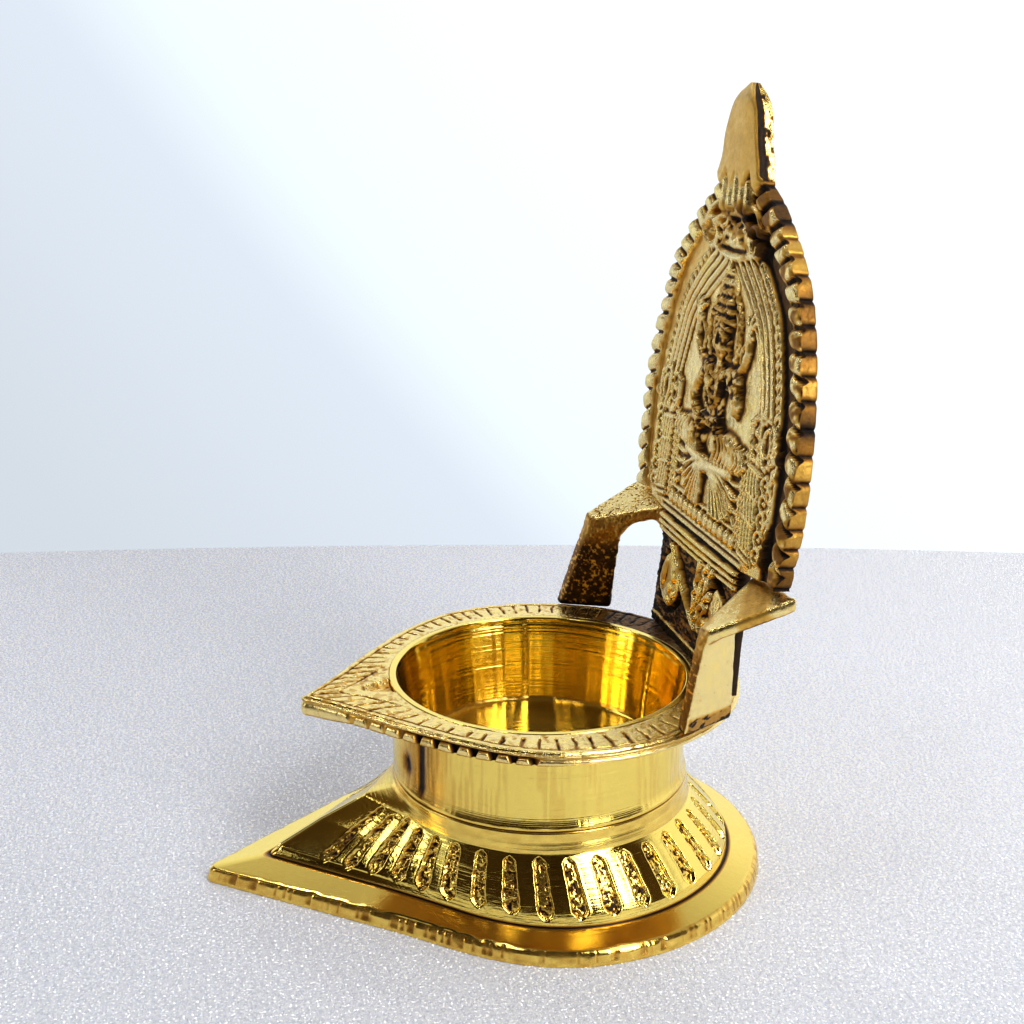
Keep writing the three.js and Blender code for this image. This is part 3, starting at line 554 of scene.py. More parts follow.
def bowl():
    """The turned cup: from the stud's end up the neck, over the lip and down to the floor."""
    columns = 900
    angles = np.arange(columns) / columns * 2 * math.pi
    floor_height = MOUTH_HEIGHT - BOWL_DEPTH
    stud_end = SEAT_HEIGHT - STUD_LENGTH
    neck_foot = NECK_RADIUS + NECK_FLARE
    plate_low = MOUTH_HEIGHT - RIM_THICKNESS
    lip_low = MOUTH_HEIGHT - LIP_HEIGHT
    lip_edge = MOUTH_RADIUS + LIP_WIDTH
    profile = []

    def run(start, end, steps, grime_and_shade=0.0):
        for share in np.linspace(0, 1, steps, endpoint=False):
            radius, height = between(start[0], end[0], share), between(start[1], end[1], share)
            profile.append((radius, height, grime_and_shade))

    run((0.02, stud_end), (STUD_RADIUS, stud_end), 3, 0.3)
    run((STUD_RADIUS, stud_end), (STUD_RADIUS, SEAT_HEIGHT), 8, 0.4)
    run((STUD_RADIUS, SEAT_HEIGHT), (neck_foot - 0.2, SEAT_HEIGHT), 4, 0.9)
    run((neck_foot - 0.02, SEAT_HEIGHT + 0.15), (neck_foot - 0.06, SEAT_HEIGHT + 0.5), 3, 0.1)
    for share in np.linspace(0, 1, 14):
        radius = NECK_RADIUS + (NECK_FLARE - 0.06) * (1 - share) ** 2.0
        profile.append((radius, SEAT_HEIGHT + 0.55 + 2.3 * share, 0.02))
    run((NECK_RADIUS, SEAT_HEIGHT + 2.9), (NECK_RADIUS - 0.15, plate_low), 40)
    run((NECK_RADIUS - 0.15, plate_low), (NECK_RADIUS, lip_low), 6, 0.5)
    run((NECK_RADIUS, lip_low), (lip_edge, lip_low), 3, 0.6)
    run((lip_edge, lip_low), (lip_edge, MOUTH_HEIGHT - 0.1), 4, 0.3)
    run((lip_edge - 0.1, MOUTH_HEIGHT - 0.01), (MOUTH_RADIUS + 0.3, MOUTH_HEIGHT - 0.01), 6)
    for turn in np.radians(np.linspace(0, 90, 5)):
        radius = MOUTH_RADIUS + 0.25 - 0.3 * math.sin(turn)
        profile.append((radius, MOUTH_HEIGHT - 0.31 + 0.3 * math.cos(turn), 0.0))
    inside = len(profile)
    for share in np.linspace(0, 1, 90, endpoint=False):
        drop = 0.4 + (BOWL_DEPTH - 1.2) * share
        narrow = (MOUTH_RADIUS - 0.08 - FLOOR_RADIUS) * (0.62 * share + 0.38 * (1 - (1 - share) ** 2.6))
        profile.append((MOUTH_RADIUS - 0.08 - narrow, MOUTH_HEIGHT - drop, 0.0))
    run((FLOOR_RADIUS, floor_height + 0.8), (FLOOR_RADIUS - 0.35, floor_height + 0.1), 4, 0.3)
    run((FLOOR_RADIUS - 0.6, floor_height), (0.02, floor_height), 24, 0.12)
    radius, height, dirt_and_shade = np.array(profile).T[:, :, None]

    s = angles * 25
    level = np.arange(len(profile))[:, None]
    wall = (level > inside) & (radius > FLOOR_RADIUS - 0.2)
    ring_lines = 0.025 * (noise(height, 3, 0.55) - 0.5) + 0.035 * (noise(height, 5, 0.3) - 0.5)
    sway = 0.34 * (noise(s, height * 0.04, 3.0) - 0.5) + 0.08 * (noise(s + 3, height * 0.04, 1.3) - 0.5)
    neck = (level < inside - 20) & (height > SEAT_HEIGHT + 0.6) & (height < MOUTH_HEIGHT - 2.5)
    away = np.abs(degrees_from(angles, -92))
    faded = smooth((height - SEAT_HEIGHT - 0.3) / 2.5)
    nose = 0.7 * np.exp(-(away / 14) ** 2) - 0.42 * np.exp(-((away - 25) / 3.2) ** 2)
    flaw_turn = degrees_from(angles, -77)
    flaw = np.exp(-(flaw_turn / 3.2) ** 2 - ((height - 22.2) / 1.7) ** 2)
    flaw = flaw * (0.5 + layered_noise(s, height, 0.9, 3))
    brushed = 0.035 * (noise(s + 7, height * 0.12, 0.42) - 0.5)
    brushed = brushed + 0.12 * (noise(s + 3, height * 0.12, 2.6) - 0.5)
    radius = radius + wall * (sway + ring_lines) + neck * (nose * faded - 0.5 * flaw + brushed)
    radius = np.maximum(radius, 0.01)
    streak = 0.09 * smooth((noise(s + 7, height * 0.07, 0.42) - 0.4) * 3)
    streak = streak * smooth((noise(s + 40, height * 0.05, 5.0) - 0.3) * 3)
    # A painted dark reflection: a brownish band on the neck near the casting flaw.
    painted_dark_reflection = 0.3 * np.exp(-((flaw_turn - 12) / 16) ** 2) * (0.5 + noise(s + 60, height * 0.07, 0.8))
    crease = 0.75 * np.exp(-((away - 25) / 2.6) ** 2) * faded
    dirt_and_shade = dirt_and_shade + neck * (0.8 * flaw + crease + streak + painted_dark_reflection)
    parts = np.broadcast_arrays(radius * np.cos(angles), radius * np.sin(angles), height)
    skin("bowl_turned", np.stack(parts, axis=-1), "polished_brass", "bowl", dirt_and_shade)


# Rim plate

def turned(points):
    """Points turned about the bowl's axis with the rim plate."""
    c, s = math.cos(RIM_TURN), math.sin(RIM_TURN)
    result = np.array(points, dtype=float)
    result[..., 0] = points[..., 0] * c - points[..., 1] * s
    result[..., 1] = points[..., 1] * c + points[..., 0] * s
    return result


def rim_outline(count):
    """The plate's outline at even steps, from the middle of the beak round to it again."""
    start_x, start_y = RIM_RADIUS * math.sin(BEAK_START), RIM_RADIUS * math.cos(BEAK_START)
    start = np.array([start_x, RIM_CENTRE_Y - start_y])
    tip = np.array([BEAK_HALF_WIDTH, -BEAK_REACH])
    leave = np.array([-math.cos(BEAK_START), -math.sin(BEAK_START)])
    arrive = np.array([math.sin(BEAK_TAPER), math.cos(BEAK_TAPER)])
    t = np.linspace(0, 1, 400)[:, None]
    handles = (tip, tip + BEAK_SWEEP * arrive, start + BEAK_SHOULDER_SWEEP * leave, start)
    weights = ((1 - t) ** 3, 3 * t * (1 - t) ** 2, 3 * t ** 2 * (1 - t), t ** 3)
    beak = sum(weight * handle for weight, handle in zip(weights, handles))
    t = np.linspace(0, 1, 30)
    blunt = np.stack([BEAK_HALF_WIDTH * t, 0.35 * t ** 2 - BEAK_REACH - 0.35], axis=-1)
    turn = np.linspace(BEAK_START, math.pi, 600)
    circle = np.stack([RIM_RADIUS * np.sin(turn), RIM_CENTRE_Y - RIM_RADIUS * np.cos(turn)], axis=-1)
    half = np.concatenate([blunt[:-1], beak[:-1], circle])
    whole = np.concatenate([half, half[-2:0:-1] * [-1, 1], half[:1]])
    length = np.concatenate([[0], np.cumsum(np.hypot(*np.diff(whole, axis=0).T))])
    wanted = np.arange(count) / count * length[-1]
    points = np.stack([np.interp(wanted, length, whole[:, k]) for k in (0, 1)], axis=-1)
    ahead, behind = np.roll(points, -1, axis=0), np.roll(points, 1, axis=0)
    direction = ahead - behind
    direction /= np.linalg.norm(direction, axis=1, keepdims=True)
    for _ in range(6):
        direction = (np.roll(direction, 3, 0) + direction + np.roll(direction, -3, 0)) / 3
    inward = np.stack([-direction[:, 1], direction[:, 0]], axis=-1)
    return points, inward, wanted, length[-1]


def rim_plate():
    """The beaked plate: engraved top, toothed rolled edge, underside with its keel, and bore."""
    columns = 1440
    outline, inward, along, around = rim_outline(columns)
    polar = np.arctan2(outline[:, 1], outline[:, 0])
    round_mouth = np.stack([np.cos(polar), np.sin(polar)], axis=-1)
    bore = MOUTH_RADIUS + LIP_WIDTH + 0.06
    inner = bore * round_mouth
    width = np.linalg.norm(outline - inner, axis=1)
    from_tip = np.minimum(along, around - along)
    near_side = along < around / 2
    rung_pitch = np.where(near_side, RUNG_PITCH_NEAR, RUNG_PITCH_FAR)
    wave = 0.9 * (noise(from_tip, near_side * 9.0, 3.4) - 0.5)
    cell = (from_tip + wave) / rung_pitch
    number = np.round(cell)
    cell = cell - number
    rings = Rings()

    def push(points, height, grime_and_shade):
        rings.add(points[:, 0], points[:, 1], height, grime_and_shade)

    def edge(inset):
        return outline + inward * np.reshape(inset, (-1, 1))

    uneven = noise(number * 3.1, near_side * 5.0, 1.0)
    wear = 0.12 * noise(along, 2, 5) + 0.10 * noise(along, 8, 1.2)
    tool = 0.16 * (noise(along, 5, 1.4) - 0.5)
    toward_tip = smooth((23 - from_tip) / 8)
    rail_gap = ENGRAVED_RAIL + 0.8 * toward_tip
    faint = smooth((np.abs(polar - math.radians(100)) - 0.25) / 0.5)
    joint = smooth((polar - math.radians(38)) / 0.1) * smooth((math.radians(142) - polar) / 0.1)
    tarnish_and_shade = joint * (0.5 * smooth((polar - math.radians(95)) / 0.3) + 0.15)
    for share in np.linspace(0, 1, 70):
        points = inner * (1 - share) + edge(0.4 + wear) * share
        x, y = points.T
        from_edge = np.linalg.norm(points - outline, axis=1)
        from_mouth = np.hypot(x, y) - bore
        inner_end = np.maximum(from_mouth - 1.0, 0)
        inner_rail = np.exp(-((from_edge - rail_gap - tool) / 0.2) ** 2)
        inner_rail = inner_rail * (from_mouth > 1.2) * smooth((width - 8) / 1.5)
        rung_here = smooth((from_edge - ENGRAVED_LINE + 0.1) / 0.3) * smooth(inner_end / 0.5)
        rung_here = rung_here * smooth((rail_gap + 0.2 - from_edge) / 0.3)
        slant = (0.16 * (0.3 + 1.2 * toward_tip) + 0.14 * (uneven - 0.5)) * (from_edge - 3.5)
        off = cell * rung_pitch - slant + 0.45 * (noise(x, y, 1.3) - 0.5)
        breadth = 0.17 + 0.10 * uneven + 0.08 * noise(x + 3, y, 0.9)
        rung = np.exp(-np.abs(off / breadth) ** 2.4)
        cut = 0.85 * np.exp(-((from_edge - ENGRAVED_LINE - tool) / 0.16) ** 2)
        cut = np.maximum(cut, rung_here * rung * (0.65 + 0.45 * noise(x + 9, y, 1.3)))
        cut = np.maximum(cut, 0.9 * inner_rail)
        cut = cut * (0.45 + 0.6 * noise(x, y, 1.1)) * (0.35 + 0.65 * faint)
        lean = -y - bore
        apron = smooth((5.6 - lean) / 1.2) * smooth((3.1 - np.abs(x + 0.2) - lean * 0.42) / 0.9)
        apron = apron * (y < -bore + 1.5)
        pitted = layered_noise(x, y, 0.8, 3) - 0.5
        coarse = layered_noise(x + 30, y, 3.0, 3) - 0.5
        round_off = 0.45 * np.clip((share - 0.93) / 0.07, 0, 1) ** 2
        height = MOUTH_HEIGHT - 0.04 - 0.42 * cut - 0.8 * apron + 0.2 * np.minimum(pitted, 0) - round_off
        height = height + 0.2 * np.minimum(coarse, 0) - 0.15 * joint * layered_noise(x, y, 1.4, 3)
        speckle = smooth((layered_noise(x + 50, y, 0.7, 2) - 0.5) * 6) * (0.10 + 0.16 * toward_tip)
        dirt_and_shade = 1.15 * cut ** 1.1 + 0.3 * apron * noise(x, y, 1.2)
        dirt_and_shade = dirt_and_shade + 0.6 * np.clip(-pitted * 2.2 - 0.2, 0, 1) + tarnish_and_shade + speckle
        push(points, height, dirt_and_shade)

    thickness = between(ROLL_THICKNESS, RIM_THICKNESS, smooth(-outline[:, 1] / MOUTH_RADIUS))
    knob = from_tip / KNOB_PITCH + 0.35
    knob_number = np.floor(knob)
    knob = knob - knob_number
    toothed = smooth((from_tip - 7.5) / 1.5) * smooth((46 - from_tip) / 3)
    toothed = toothed * (0.3 + 0.7 * smooth((from_tip - 19) / 4))
    toothed = toothed * (0.6 + 0.4 * noise(knob_number * 2.3, near_side * 6.0, 1.0))
    gap_width = 0.22 + 0.26 * noise(knob_number * 3.3, near_side * 4.0, 1.0)
    rough = noise(along, 11, 1.3) - 0.5
    drooping = 0.55 * smooth((12 - from_tip) / 8)
    for share in np.linspace(0, 1, 9):
        inset = 0.34 - 0.34 * math.sin(share * math.pi) + wear * (1 - share) * 0.8 + 0.16 * (rough + 0.5)
        height = MOUTH_HEIGHT - 0.42 * (1 - share) - (UPPER_EDGE + 0.02) * share
        push(edge(inset), height, 0.06 + 0.25 * share)
    groove = 0.08 + 0.4 * toothed
    for share in (0.2, 0.6, 1.0):
        inset = 0.4 + groove * math.sin(math.pi * min(share, 0.75))
        push(edge(inset), MOUTH_HEIGHT - UPPER_EDGE - 0.3 * share, 0.2 + 0.6 * toothed)
    roll_top = MOUTH_HEIGHT - UPPER_EDGE - 0.3
    for share in np.linspace(0, 1, 20):
        swell = math.sin(share * math.pi)
        bulge = swell ** 0.55
        opening = gap_width * (1.35 - 0.9 * share)
        gap = smooth((opening - np.abs(knob - 0.5) * 2 + 0.10) / 0.22) * toothed
        gap = gap * math.sin(math.pi * min(1, share * 0.94 + 0.04)) ** 0.3
        from_knob = np.clip(np.abs(knob - (knob > 0.5)) * 2, 0, 1)
        plump = 0.22 * np.cos(from_knob * math.pi / 2) * toothed
        inset = 0.5 - 0.46 * bulge - plump * bulge * 0.5 + 1.7 * gap + 0.12 * rough * bulge + 0.05 * toothed
        depth = (thickness - UPPER_EDGE - 0.3 + drooping) * share + 0.18 * toothed * swell * rough
        dirt_and_shade = 0.08 + 1.1 * gap + 0.35 * (1 - bulge) * toothed + 0.15 * (share > 0.8)
        push(edge(np.maximum(inset, 0.03)), roll_top - depth, dirt_and_shade)
    keel = np.exp(-(outline[:, 0] / 5.0) ** 2) * (outline[:, 1] < 0)
    wall = (NECK_RADIUS + 0.2) * round_mouth
    for share in np.linspace(0.05, 1, 14):
        points = edge(0.75) * (1 - share) + wall * share
        drop = 4.2 * keel * smooth(share * 1.1) ** 1.2 + drooping * (1 - share)
        under = MOUTH_HEIGHT - between(thickness, RIM_THICKNESS, share)
        push(points, under - drop, 0.35 + 0.3 * noise(*points.T, 1.5))
    push(wall, MOUTH_HEIGHT - 1.5, 0.8)
    push(inner, MOUTH_HEIGHT - 1.5, 0.8)
    plate = turned(np.array(rings.points))
    skin("rim_engraved", plate, "satin_brass", "rim_plate", np.array(rings.grime_and_shade), close_rows=True)


# Relief carving

def path_arrays(path):
    """Starts, steps and lengths of a path's stretches, and how long it is before each of them."""
    path = np.asarray(path, dtype=float)
    starts, steps = path[:-1], np.diff(path, axis=0)
    lengths = np.hypot(steps[:, 0], steps[:, 1])
    keep = lengths > 1e-9
    starts, steps, lengths = starts[keep], steps[keep], lengths[keep]
    before = np.concatenate([[0], np.cumsum(lengths)[:-1]])
    return starts, steps, lengths, before


def nearest(path, x, v):
    """Distance to a path, distance along it, and the side (+1 left of its direction)."""
    best = np.full(x.shape, 1e9)
    along = np.zeros(x.shape)
    side = np.zeros(x.shape)
    for start, step, length, before in zip(*path_arrays(path)):
        dx, dv = x - start[0], v - start[1]
        share = np.clip((dx * step[0] + dv * step[1]) / length ** 2, 0, 1)
        away = np.hypot(dx - share * step[0], dv - share * step[1])
        closer = away < best
        best = np.where(closer, away, best)
        along = np.where(closer, before + share * length, along)
        side = np.where(closer, np.sign(step[0] * dv - step[1] * dx), side)
    return best, along, side


def curve(points):
    """A smooth path through a few points. Paths of two points and drawn arcs stay as they are."""
    points = np.asarray(points, dtype=float)
    if not 2 < len(points) < FEWEST_IN_ARC:
        return points
    padded = np.vstack([2 * points[0] - points[1], points, 2 * points[-1] - points[-2]])
    result = []
    for k in range(1, len(padded) - 2):
        a, b, c, d = padded[k - 1:k + 3]
        for t in np.arange(CURVE_STEPS) / CURVE_STEPS:
            result.append(0.5 * (2 * b + (c - a) * t + (2 * a - 5 * b + 4 * c - d) * t ** 2
                                 + (3 * b - a - 3 * c + d) * t ** 3))
    result.append(points[-1])
    return np.array(result)


def arc(x, v, across, up, start, end, steps=24):
    """Part of an oval about a place, from angle to angle in degrees."""
    turn = np.radians(np.linspace(start, end, steps))
    return np.stack([x + across * np.cos(turn), v + up * np.sin(turn)], axis=-1)


def sided(side, *points):
    """Points of the right half, turned to a side."""
    return np.array(points, dtype=float) * (side, 1)


class Relief:
    """A height field over a grid of places, built by laying rounded forms on it."""

    def __init__(self, x, v, height):
        self.x, self.v = x, v
        self.height = height

    def window(self, low, high):
        """Where the places inside a box lie in the grid."""
        x, v = self.x, self.v
        return np.nonzero((x > low[0]) & (x < high[0]) & (v > low[1]) & (v < high[1]))

    def stroke(self, path, width, top, ground=-0.5, end_width=None, beads=0.0, twist=0.0, blunt=0.5):
        """A rounded bar along a path. It can taper, be beaded or be twisted like a rope."""
        path = curve(path)
        end_width = width if end_width is None else end_width
        reach = max(width, end_width)
        here = self.window(path.min(axis=0) - reach, path.max(axis=0) + reach)
        away, along, side = nearest(path, self.x[here], self.v[here])
        _, _, lengths, before = path_arrays(path)
        half = width + (end_width - width) * along / (before[-1] + lengths[-1])
        rise = np.full(away.shape, top - ground)
        if beads:
            phase = np.abs(np.sin(math.pi * along / beads))
            half = half * (0.62 + 0.38 * phase)
            rise = rise * (0.55 + 0.45 * phase)
        if twist:
            rise = rise * (0.72 + 0.28 * np.cos(2 * math.pi * (along + side * away * 0.9) / twist))
        inside = np.clip(1 - (away / half) ** 2, 0, 1)
        shape = np.where(away < half, ground + rise * inside ** blunt, BELOW_ALL)
        self.height[here] = np.maximum(self.height[here], shape)

    def groove(self, path, width, depth):
        """A rounded channel along a path."""
        path = curve(path)
        here = self.window(path.min(axis=0) - width, path.max(axis=0) + width)
        away = nearest(path, self.x[here], self.v[here])[0]
        self.height[here] -= depth * smooth(1 - away / width)

    def mound(self, x, v, across, up, top, ground=-0.5, turn=0.0, blunt=0.5):
        """A rounded oval mound."""
        reach = max(across, up)
        here = self.window((x - reach, v - reach), (x + reach, v + reach))
        dx, dv = self.x[here] - x, self.v[here] - v
        c, s = math.cos(math.radians(turn)), math.sin(math.radians(turn))
        along, over = (dx * c + dv * s) / across, (dv * c - dx * s) / up
        inside = np.clip(1 - along ** 2 - over ** 2, 0, 1)
        shape = np.where(inside > 0, ground + (top - ground) * inside ** blunt, BELOW_ALL)
        self.height[here] = np.maximum(self.height[here], shape)

    def beads(self, path, radius, top, spacing, ground=-0.5):
        """A row of round mounds along a path."""
        starts, steps, lengths, before = path_arrays(curve(path))
        total = before[-1] + lengths[-1]
        count = max(1, round(total / spacing))
        for place in (np.arange(count) + 0.5) / count * total:
            k = np.searchsorted(before, place, side="right") - 1
            x, v = starts[k] + steps[k] * (place - before[k]) / lengths[k]
            self.mound(x, v, radius, radius, top, ground)


def columns_round(*parts):
    """Front, right wall, back and left wall of a plate, side by side. Each is an x, a v and a height."""
    return (np.concatenate(part, axis=1) for part in zip(*parts))


def on_plaque(x, v, h):
    """Points from places along, up and out of the plaque's plane."""
    return PLAQUE_FOOT + x[..., None] * PLAQUE_ACROSS + v[..., None] * PLAQUE_UP + h[..., None] * PLAQUE_OUT


# Plaque

# The plaque's half width over its height: shoulders, then the finial
HALF_WIDTHS = np.array([
    (0.0, 33.2), (3.0, 33.4), (6.0, 33.9), (10.5, 34.6), (19.0, 34.6), (25.0, 33.8), (30.0, 32.8),
    (35.0, 31.3), (40.0, 29.5), (44.0, 27.5), (47.5, 25.0), (51.0, 21.4), (54.0, 17.8), (57.0, 13.6),
    (60.0, 9.6), (62.0, 8.3), (65.0, 7.15), (68.0, 6.4), (70.0, 5.7), (72.0, 4.75), (74.0, 3.1),
    (75.0, 1.9), (75.7, 0.4),
])
FINIAL_LEAN = 0.9
RELIEF_SHARE = 0.66
RIB_PITCH = 3.85


def half_width(v):
    """Half the plaque's width at a height, with the table's corners eased."""
    fine = np.linspace(0, HALF_WIDTHS[-1, 0], 1600)
    wide = np.interp(fine, *HALF_WIDTHS.T)
    pad = np.concatenate([np.full(20, wide[0]), wide, np.full(20, wide[-1])])
    wide = np.convolve(pad, np.ones(41) / 41, mode="valid")
    return np.interp(v, fine, wide)


def carve_figure(relief):
    """A calm four-armed seated figure under a tiered crown."""
    stroke, mound, beads = relief.stroke, relief.mound, relief.beads
    stroke(arc(0, 35.5, 6.6, 7.2, -35, 215, 40), 0.75, 0.75, beads=1.5)
    stroke(arc(0, 35.5, 5.2, 5.6, -25, 205, 30), 0.3, 0.2)
    for tier in range(6):
        v, wide = 37.7 + 1.6 * tier, 3.6 - 0.52 * tier
        stroke([(-wide, v), (wide, v)], 0.62, 1.7 - 0.08 * tier)
        beads([(-wide - 0.3, v), (wide + 0.3, v)], 0.62, 2.15 - 0.08 * tier, 1.25)
    for v, across, up, top, ground in (
        (41.0, 3.7, 6.2, 1.0, -0.5), (46.6, 0.9, 1.5, 1.5, -0.5), (34.4, 2.7, 3.3, 2.1, -0.5),
        (33.75, 0.62, 0.32, 2.5, 1.6), (31.9, 0.7, 0.5, 1.9, 1.2), (28.6, 5.0, 2.0, 1.3, -0.5),
        (24.6, 3.6, 5.6, 1.35, -0.5), (23.6, 0.6, 0.8, 2.3, 1.2),
    ):
        mound(0, v, across, up, top, ground)
    stroke([(-2.5, 36.4), (0, 37.1), (2.5, 36.4)], 0.4, 2.0)
    stroke([(0, 35.2), (0, 33.9)], 0.38, 2.5, ground=1.6)
    stroke([(-0.7, 32.75), (0, 32.6), (0.7, 32.75)], 0.25, 2.25, ground=1.5)
    stroke([(0, 31.4), (0, 29.6)], 1.3, 1.2)
    for side in (-1, 1):
        for x, v, across, up, top, ground in (
            (1.15, 34.9, 0.55, 0.27, 2.3, 1.6), (3.0, 33.6, 0.7, 1.1, 1.3, -0.5),
            (3.2, 31.9, 0.7, 0.7, 1.2, -0.5), (1.3, 33.2, 0.8, 0.7, 1.95, 1.4),
            (1.95, 26.9, 1.8, 1.8, 2.05, -0.5), (4.9, 29.0, 1.5, 1.3, 1.6, -0.5),
            (10.9, 36.8, 1.3, 1.1, 1.4, -0.5),
        ):
            mound(side * x, v, across, up, top, ground)
        stroke(sided(side, (0.5, 35.5), (1.2, 35.8), (1.9, 35.4)), 0.2, 2.28, ground=1.6)
        stroke(sided(side, (4.6, 29.0), (7.6, 26.6), (9.3, 23.9)), 1.2, 1.5, end_width=1.0)
        beads(sided(side, (6.4, 28.6), (5.7, 26.8)), 0.42, 1.9, 0.75)
        stroke(sided(side, (4.2, 29.6), (7.6, 30.0), (9.9, 31.6)), 1.05, 1.2, end_width=0.85)
        stroke(sided(side, (9.9, 31.6), (11.0, 33.6), (10.9, 36.0)), 0.85, 1.25)
        beads(sided(side, (10.2, 33.4), (11.6, 33.2)), 0.36, 1.5, 0.7)
        for petal in (-50, -17, 17, 50):
            turn = math.radians(90 + petal)
            root = np.array([side * 11.1, 37.6])
            tip = root + 2.6 * np.array([math.cos(turn), math.sin(turn)])
            stroke([root, tip], 0.62, 1.25, end_width=0.3)
        stroke(sided(side, (10.0, 36.0), (8.0, 34.0), (8.2, 31.8)), 0.35, 0.5)
        mound(side * 8.4, 16.8, 6.0, 3.3, 1.55, turn=side * -6)
        for k in range(9):
            x, bow = 3.2 + 1.35 * k, 1.15 + 0.05 * k
            heights = 19.6 - 0.13 * k, 17.4 - 0.1 * k, 14.3 + 0.1 * k
            fold = sided(side, *zip((x - 0.4, x + bow, x + 0.2), heights))
            stroke(fold, 0.42, 2.05 - 0.09 * k, ground=0.2)
        beads(sided(side, (13.2, 18.6), (14.3, 16.4), (12.8, 14.2)), 0.45, 1.1, 0.9)
        beads(sided(side, (3.0, 13.3), (2.4, 11.4)), 0.36, 1.9, 0.7)
        for k in range(4):
            low = 12.8 - 1.9 * k
            fold = sided(side, (9.8 + k, low), (12 + 0.6 * k, 12.5 - 2.1 * k), (14.2, 12.8 - 2.2 * k))
            stroke(fold, 0.5, 0.6)
    stroke([(9.3, 23.9), (9.8, 25.6), (8.9, 28.2)], 0.95, 1.75)
    mound(8.7, 29.0, 1.15, 1.6, 1.9)
    stroke([(-9.3, 23.9), (-8.4, 21.8), (-6.6, 20.4)], 0.95, 1.8)
    mound(-6.2, 19.9, 1.5, 1.1, 1.95)
    for k in range(4):
        drop = 2.1 * k ** 0.85
        wide = 2.5 + 0.42 * k
        bend = (wide * 0.62, 28.6 - drop * 0.75)
        necklace = [(-wide, 29.7), (-bend[0], bend[1]), (0, 28.3 - drop), bend, (wide, 29.7)]
        beads(necklace, 0.33, 2.4, 0.62, ground=1.2)
    stroke([(-3.6, 21.4), (0, 20.8), (3.6, 21.4)], 0.55, 1.9)
    beads([(-3.9, 20.4), (0, 19.8), (3.9, 20.4)], 0.5, 2.1, 0.95)
    stroke([(-8.8, 13.9), (-3, 13.2), (4.5, 12.0)], 1.35, 1.4)
    stroke([(9.4, 13.7), (4, 13.2), (-3.4, 11.9)], 1.35, 1.6)
    mound(4.7, 11.6, 2.1, 1.0, 1.5)
    mound(-4.2, 11.5, 2.1, 1.0, 1.6)
    left = [(-9.6, 10.6), (-9.4, 8.6), (-8.6, 6.9), (-7.2, 5.9), (-5.6, 5.5), (-4.0, 5.4), (-2.4, 5.4)]
    right = [(12.8, 10.4), (12.4, 8.4), (11.2, 6.8), (9.6, 5.9), (7.8, 5.5), (6.0, 5.4), (4.2, 5.4)]
    for root, tips in (((-1.7, 13.2), left), ((2.6, 13.0), right)):
        for tip in np.array(tips):
            middle = (np.array(root) + tip) / 2 + (0, 0.5)
            stroke([root, middle, tip], 0.34, 1.35, end_width=0.62)
            mound(tip[0], tip[1] + 0.1, 0.6, 0.6, 1.0)


def carve_pillars(relief):
    """Pillars of stacked drums with scrolled capitals, and a lotus step between them."""
    stroke, mound = relief.stroke, relief.mound
    for side in (-1, 1):
        for k, x in enumerate((14.7, 15.7, 16.7)):
            stroke(sided(side, (x, 3.0), (x + 0.1, 18.5 + 0.6 * k)), 0.42, 0.75, twist=1.2)
        stroke(sided(side, (19.8, 2.5), (19.8, 18)), 2.3, 0.4)
        for low, high, wide in (
            (2.2, 3.1, 2.6), (3.4, 4.2, 2.3), (8.3, 9.0, 2.4), (12.6, 13.3, 2.4), (16.6, 17.4, 2.7),
        ):
            middle, half = (low + high) / 2, (high - low) / 2
            drum = sided(side, (19.8 - wide + half, middle + 0.3), (19.8 + wide - half, middle - 0.3))
            stroke(drum, half + 0.1, 1.25)
        for low, high in ((4.5, 8.0), (9.2, 12.4), (13.5, 16.4)):
            for k in range(4):
                x = 18.1 + 1.15 * k
                stroke(sided(side, (x - 0.2, high), (x + 0.25, low)), 0.5, 1.2)
        stroke(sided(side, (24.2, 3), (24.2, 17)), 1.9, -0.1)
        for k in range(5):
            v = 4.0 + 2.9 * k
            flip = 1 if k % 2 else -1
            stroke(arc(side * 24.1, v, 1.35, 1.3, flip * 40, flip * 40 + 290, 16), 0.5, 0.9, end_width=0.3)
            mound(side * 24.1, v, 0.55, 0.5, 0.8)
        stroke(sided(side, (26.4, 3), (26.0, 10), (25.6, 18)), 0.5, 0.6, beads=1.6)
        stroke(arc(side * 22.9, 22.0, 2.9, 3.7, 80, 440, 30), 0.62, 1.1, twist=1.3)
        stroke(arc(side * 22.9, 22.0, 1.4, 2.2, 90, 450, 20), 0.42, 0.9)
        stroke(arc(side * 18.6, 22.8, 2.1, 2.5, 0, 360, 24), 0.58, 1.0, twist=1.2)
        stroke(sided(side, (20.6, 26.5), (20.9, 22.5), (22.6, 18.0)), 0.5, 1.2)
        stroke(sided(side, (25.4, 24.5), (25.2, 21.0), (22.9, 17.8)), 0.55, 1.2, twist=1.3)
        stroke(sided(side, (16.2, 24.2), (16.6, 20.6), (18.6, 18.4)), 0.5, 1.0)
        for x, v, across, up, top in (
            (18.6, 22.8, 0.8, 1.1, 0.9), (20.8, 19.2, 0.9, 1.1, 1.1), (26.0, 17.4, 0.9, 0.9, 0.7),
            (27.2, 20.6, 0.7, 1.3, 0.5),
        ):
            mound(side * x, v, across, up, top)
    for k in range(13):
        x = (k - 6) * 2.35
        mound(x, 3.5, 1.1, 1.5, 0.95)
        stroke([(x, 4.6), (x, 2.6)], 0.25, 1.15, ground=0.3)
    stroke([(-15.2, 5.35), (15.2, 5.35)], 0.28, 0.5)
    for v, top in ((1.75, 0.65), (0.55, 0.75)):
        stroke([(-18.4, v), (18.4, v)], 0.46, top, ground=-0.4)


